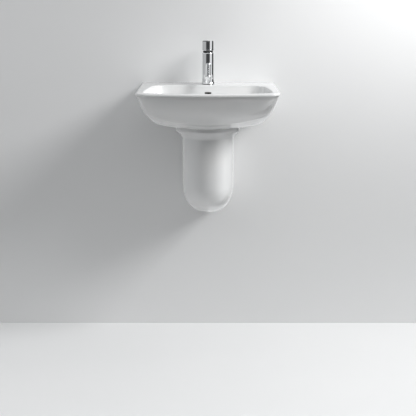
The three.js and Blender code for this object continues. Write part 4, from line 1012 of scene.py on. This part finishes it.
# the wall is open behind the flat backs, so that they and the hollow get light of their own
def wallParts():
    s = roomSettings
    y, width, low = s["wallY"], s["wallWidth"], s["floor"] * mm
    high, first, last, step = low + s["wallHeight"], s["openFrom"], s["openTo"], s["openStep"]
    parts = [((0, y, (low + first) / 2), width, first - low), ((0, y, (last + high) / 2), width, high - last)]
    basinBack, shroudBack = backOf(basinShell), backOf(semiPedestal)
    for k in range(round((last - first) / step)):
        z = first + (k + 0.5) * step
        isBasin = z > s["openJoin"]
        back = basinBack if isBasin else shroudBack
        halves = [half for half, height in back if -s["openReach"] < height - z < step]
        half = max(halves) - s["basinMargin"] if isBasin else min(halves) - s["shroudMargin"]
        strip = width / 2 - max(0, half)
        parts += [((side * (width - strip) / 2, y, z), strip, step) for side in (-1, 1)]
    return parts


def stagePlane(name, parts, tilt, material):
    bm = bmesh.new()
    for centre, width, height in parts:
        turn = Matrix.Rotation(math.radians(tilt), 4, "X")
        matrix = Matrix.Translation(centre) @ turn @ Matrix.Diagonal((width, height, 1, 1))
        bmesh.ops.create_grid(bm, x_segments=1, y_segments=1, size=0.5, matrix=matrix)
    plane = objectFrom(name, bm)
    plane.data.materials.append(material)
    return plane


floorDepth = roomSettings["floorDepth"]
floorPart = ((0, -floorDepth / 2, roomSettings["floor"] * mm), roomSettings["floorWidth"], floorDepth)
stagePlane("floor", [floorPart], 0, floorMaterial())
wall = stagePlane("wall", wallParts(), 90, wallMaterial())
wall.visible_glossy = False
print("room made")

# lamps: kind, place, what it points at, size, watts and how wide a spot's cone is
lampSettings = {
    "windowLamp": ("AREA", (6.0, -1.95, 4.3), (0.0, -0.1, 0.05), 2.7, 515.0, 0),
    "wallGlow": ("SPOT", (1.2, -1.0, 1.3), (0.82, 0.0, 0.7), 0.12, 60.0, 66),
}
for name, (kind, place, target, size, watts, cone) in lampSettings.items():
    lamp = bpy.data.lights.new(name, kind)
    lamp.energy = watts
    if kind == "SPOT":
        lamp.spot_size = math.radians(cone)
        lamp.spot_blend = 1.0
        lamp.shadow_soft_size = size
    else:
        lamp.size = size
    holder = bpy.data.objects.new(name, lamp)
    holder.location = place
    holder.rotation_euler = (Vector(target) - Vector(place)).to_track_quat("-Z", "Y").to_euler()
    scene.collection.objects.link(holder)

# light from all round: how strong from below, and what is added from above, the left and behind;
# what metal sees: colours, and dark bands by the angle round from the front in degrees and by height
worldSettings = {
    "tint": (0.97, 0.985, 1.0), "level": 0.05,
    "above": (0.71, 0.06, 0.7), "left": (0.74, 0.5, 1.0), "behind": (0.35, 0.1, 0.6),
    "bright": (0.82, 0.83, 0.84), "shaded": (0.45, 0.455, 0.46), "dark": (0.055, 0.056, 0.058),
    "middle": (-48, -32, 32, 48), "side": (86, 94, 146, 160), "shadeEdge": (-6, 6),
    "bandTop": (0.2, 0.6), "overhead": (0.62, 0.8), "overheadShare": 0.85,
}


# soft grey light from all round; cameras see white, and metal sees a bright room with a dark middle
def makeWorld():
    s = worldSettings
    world = bpy.data.worlds.new("room")
    scene.world = world
    tree = Tree(world)
    isCamera = tree.make("ShaderNodeLightPath", output="Is Camera Ray")
    isGlossy = tree.make("ShaderNodeLightPath", output="Is Glossy Ray")
    direction = tree.make("ShaderNodeTexCoord", output="Generated")
    x, y, up = (tree.axis(letter, direction) for letter in "XYZ")
    level = s["level"]
    for side, (strength, low, high) in ((up, s["above"]), (x * -1, s["left"]), (y, s["behind"])):
        level = level + strength * side.above(low, high)
    soft = tree.make("ShaderNodeBackground", Color=(*s["tint"], 1), Strength=level)
    turn = x.maths("ARCTAN2", x, y * -1) * (180 / math.pi)
    low = 1 - up.above(*s["bandTop"])
    bands = turn.between(*s["middle"]) + turn.between(*s["side"])
    dark = bands * low + up.above(*s["overhead"]) * s["overheadShare"]
    shade = (1 - turn.above(*s["shadeEdge"])) * low
    room = tree.mix(dark, tree.mix(shade, s["bright"], s["shaded"]), s["dark"])
    seen = tree.make("ShaderNodeBackground", Color=room, Strength=1.0)
    white = tree.make("ShaderNodeBackground", Color=(1, 1, 1, 1), Strength=1.0)
    base = tree.make("ShaderNodeMixShader", n0=isGlossy, n1=soft, n2=seen)
    tree.finishWith(tree.make("ShaderNodeMixShader", n0=isCamera, n1=base, n2=white), "ShaderNodeOutputWorld")


makeWorld()
scene.view_settings.view_transform = "Standard"
print("lights made")
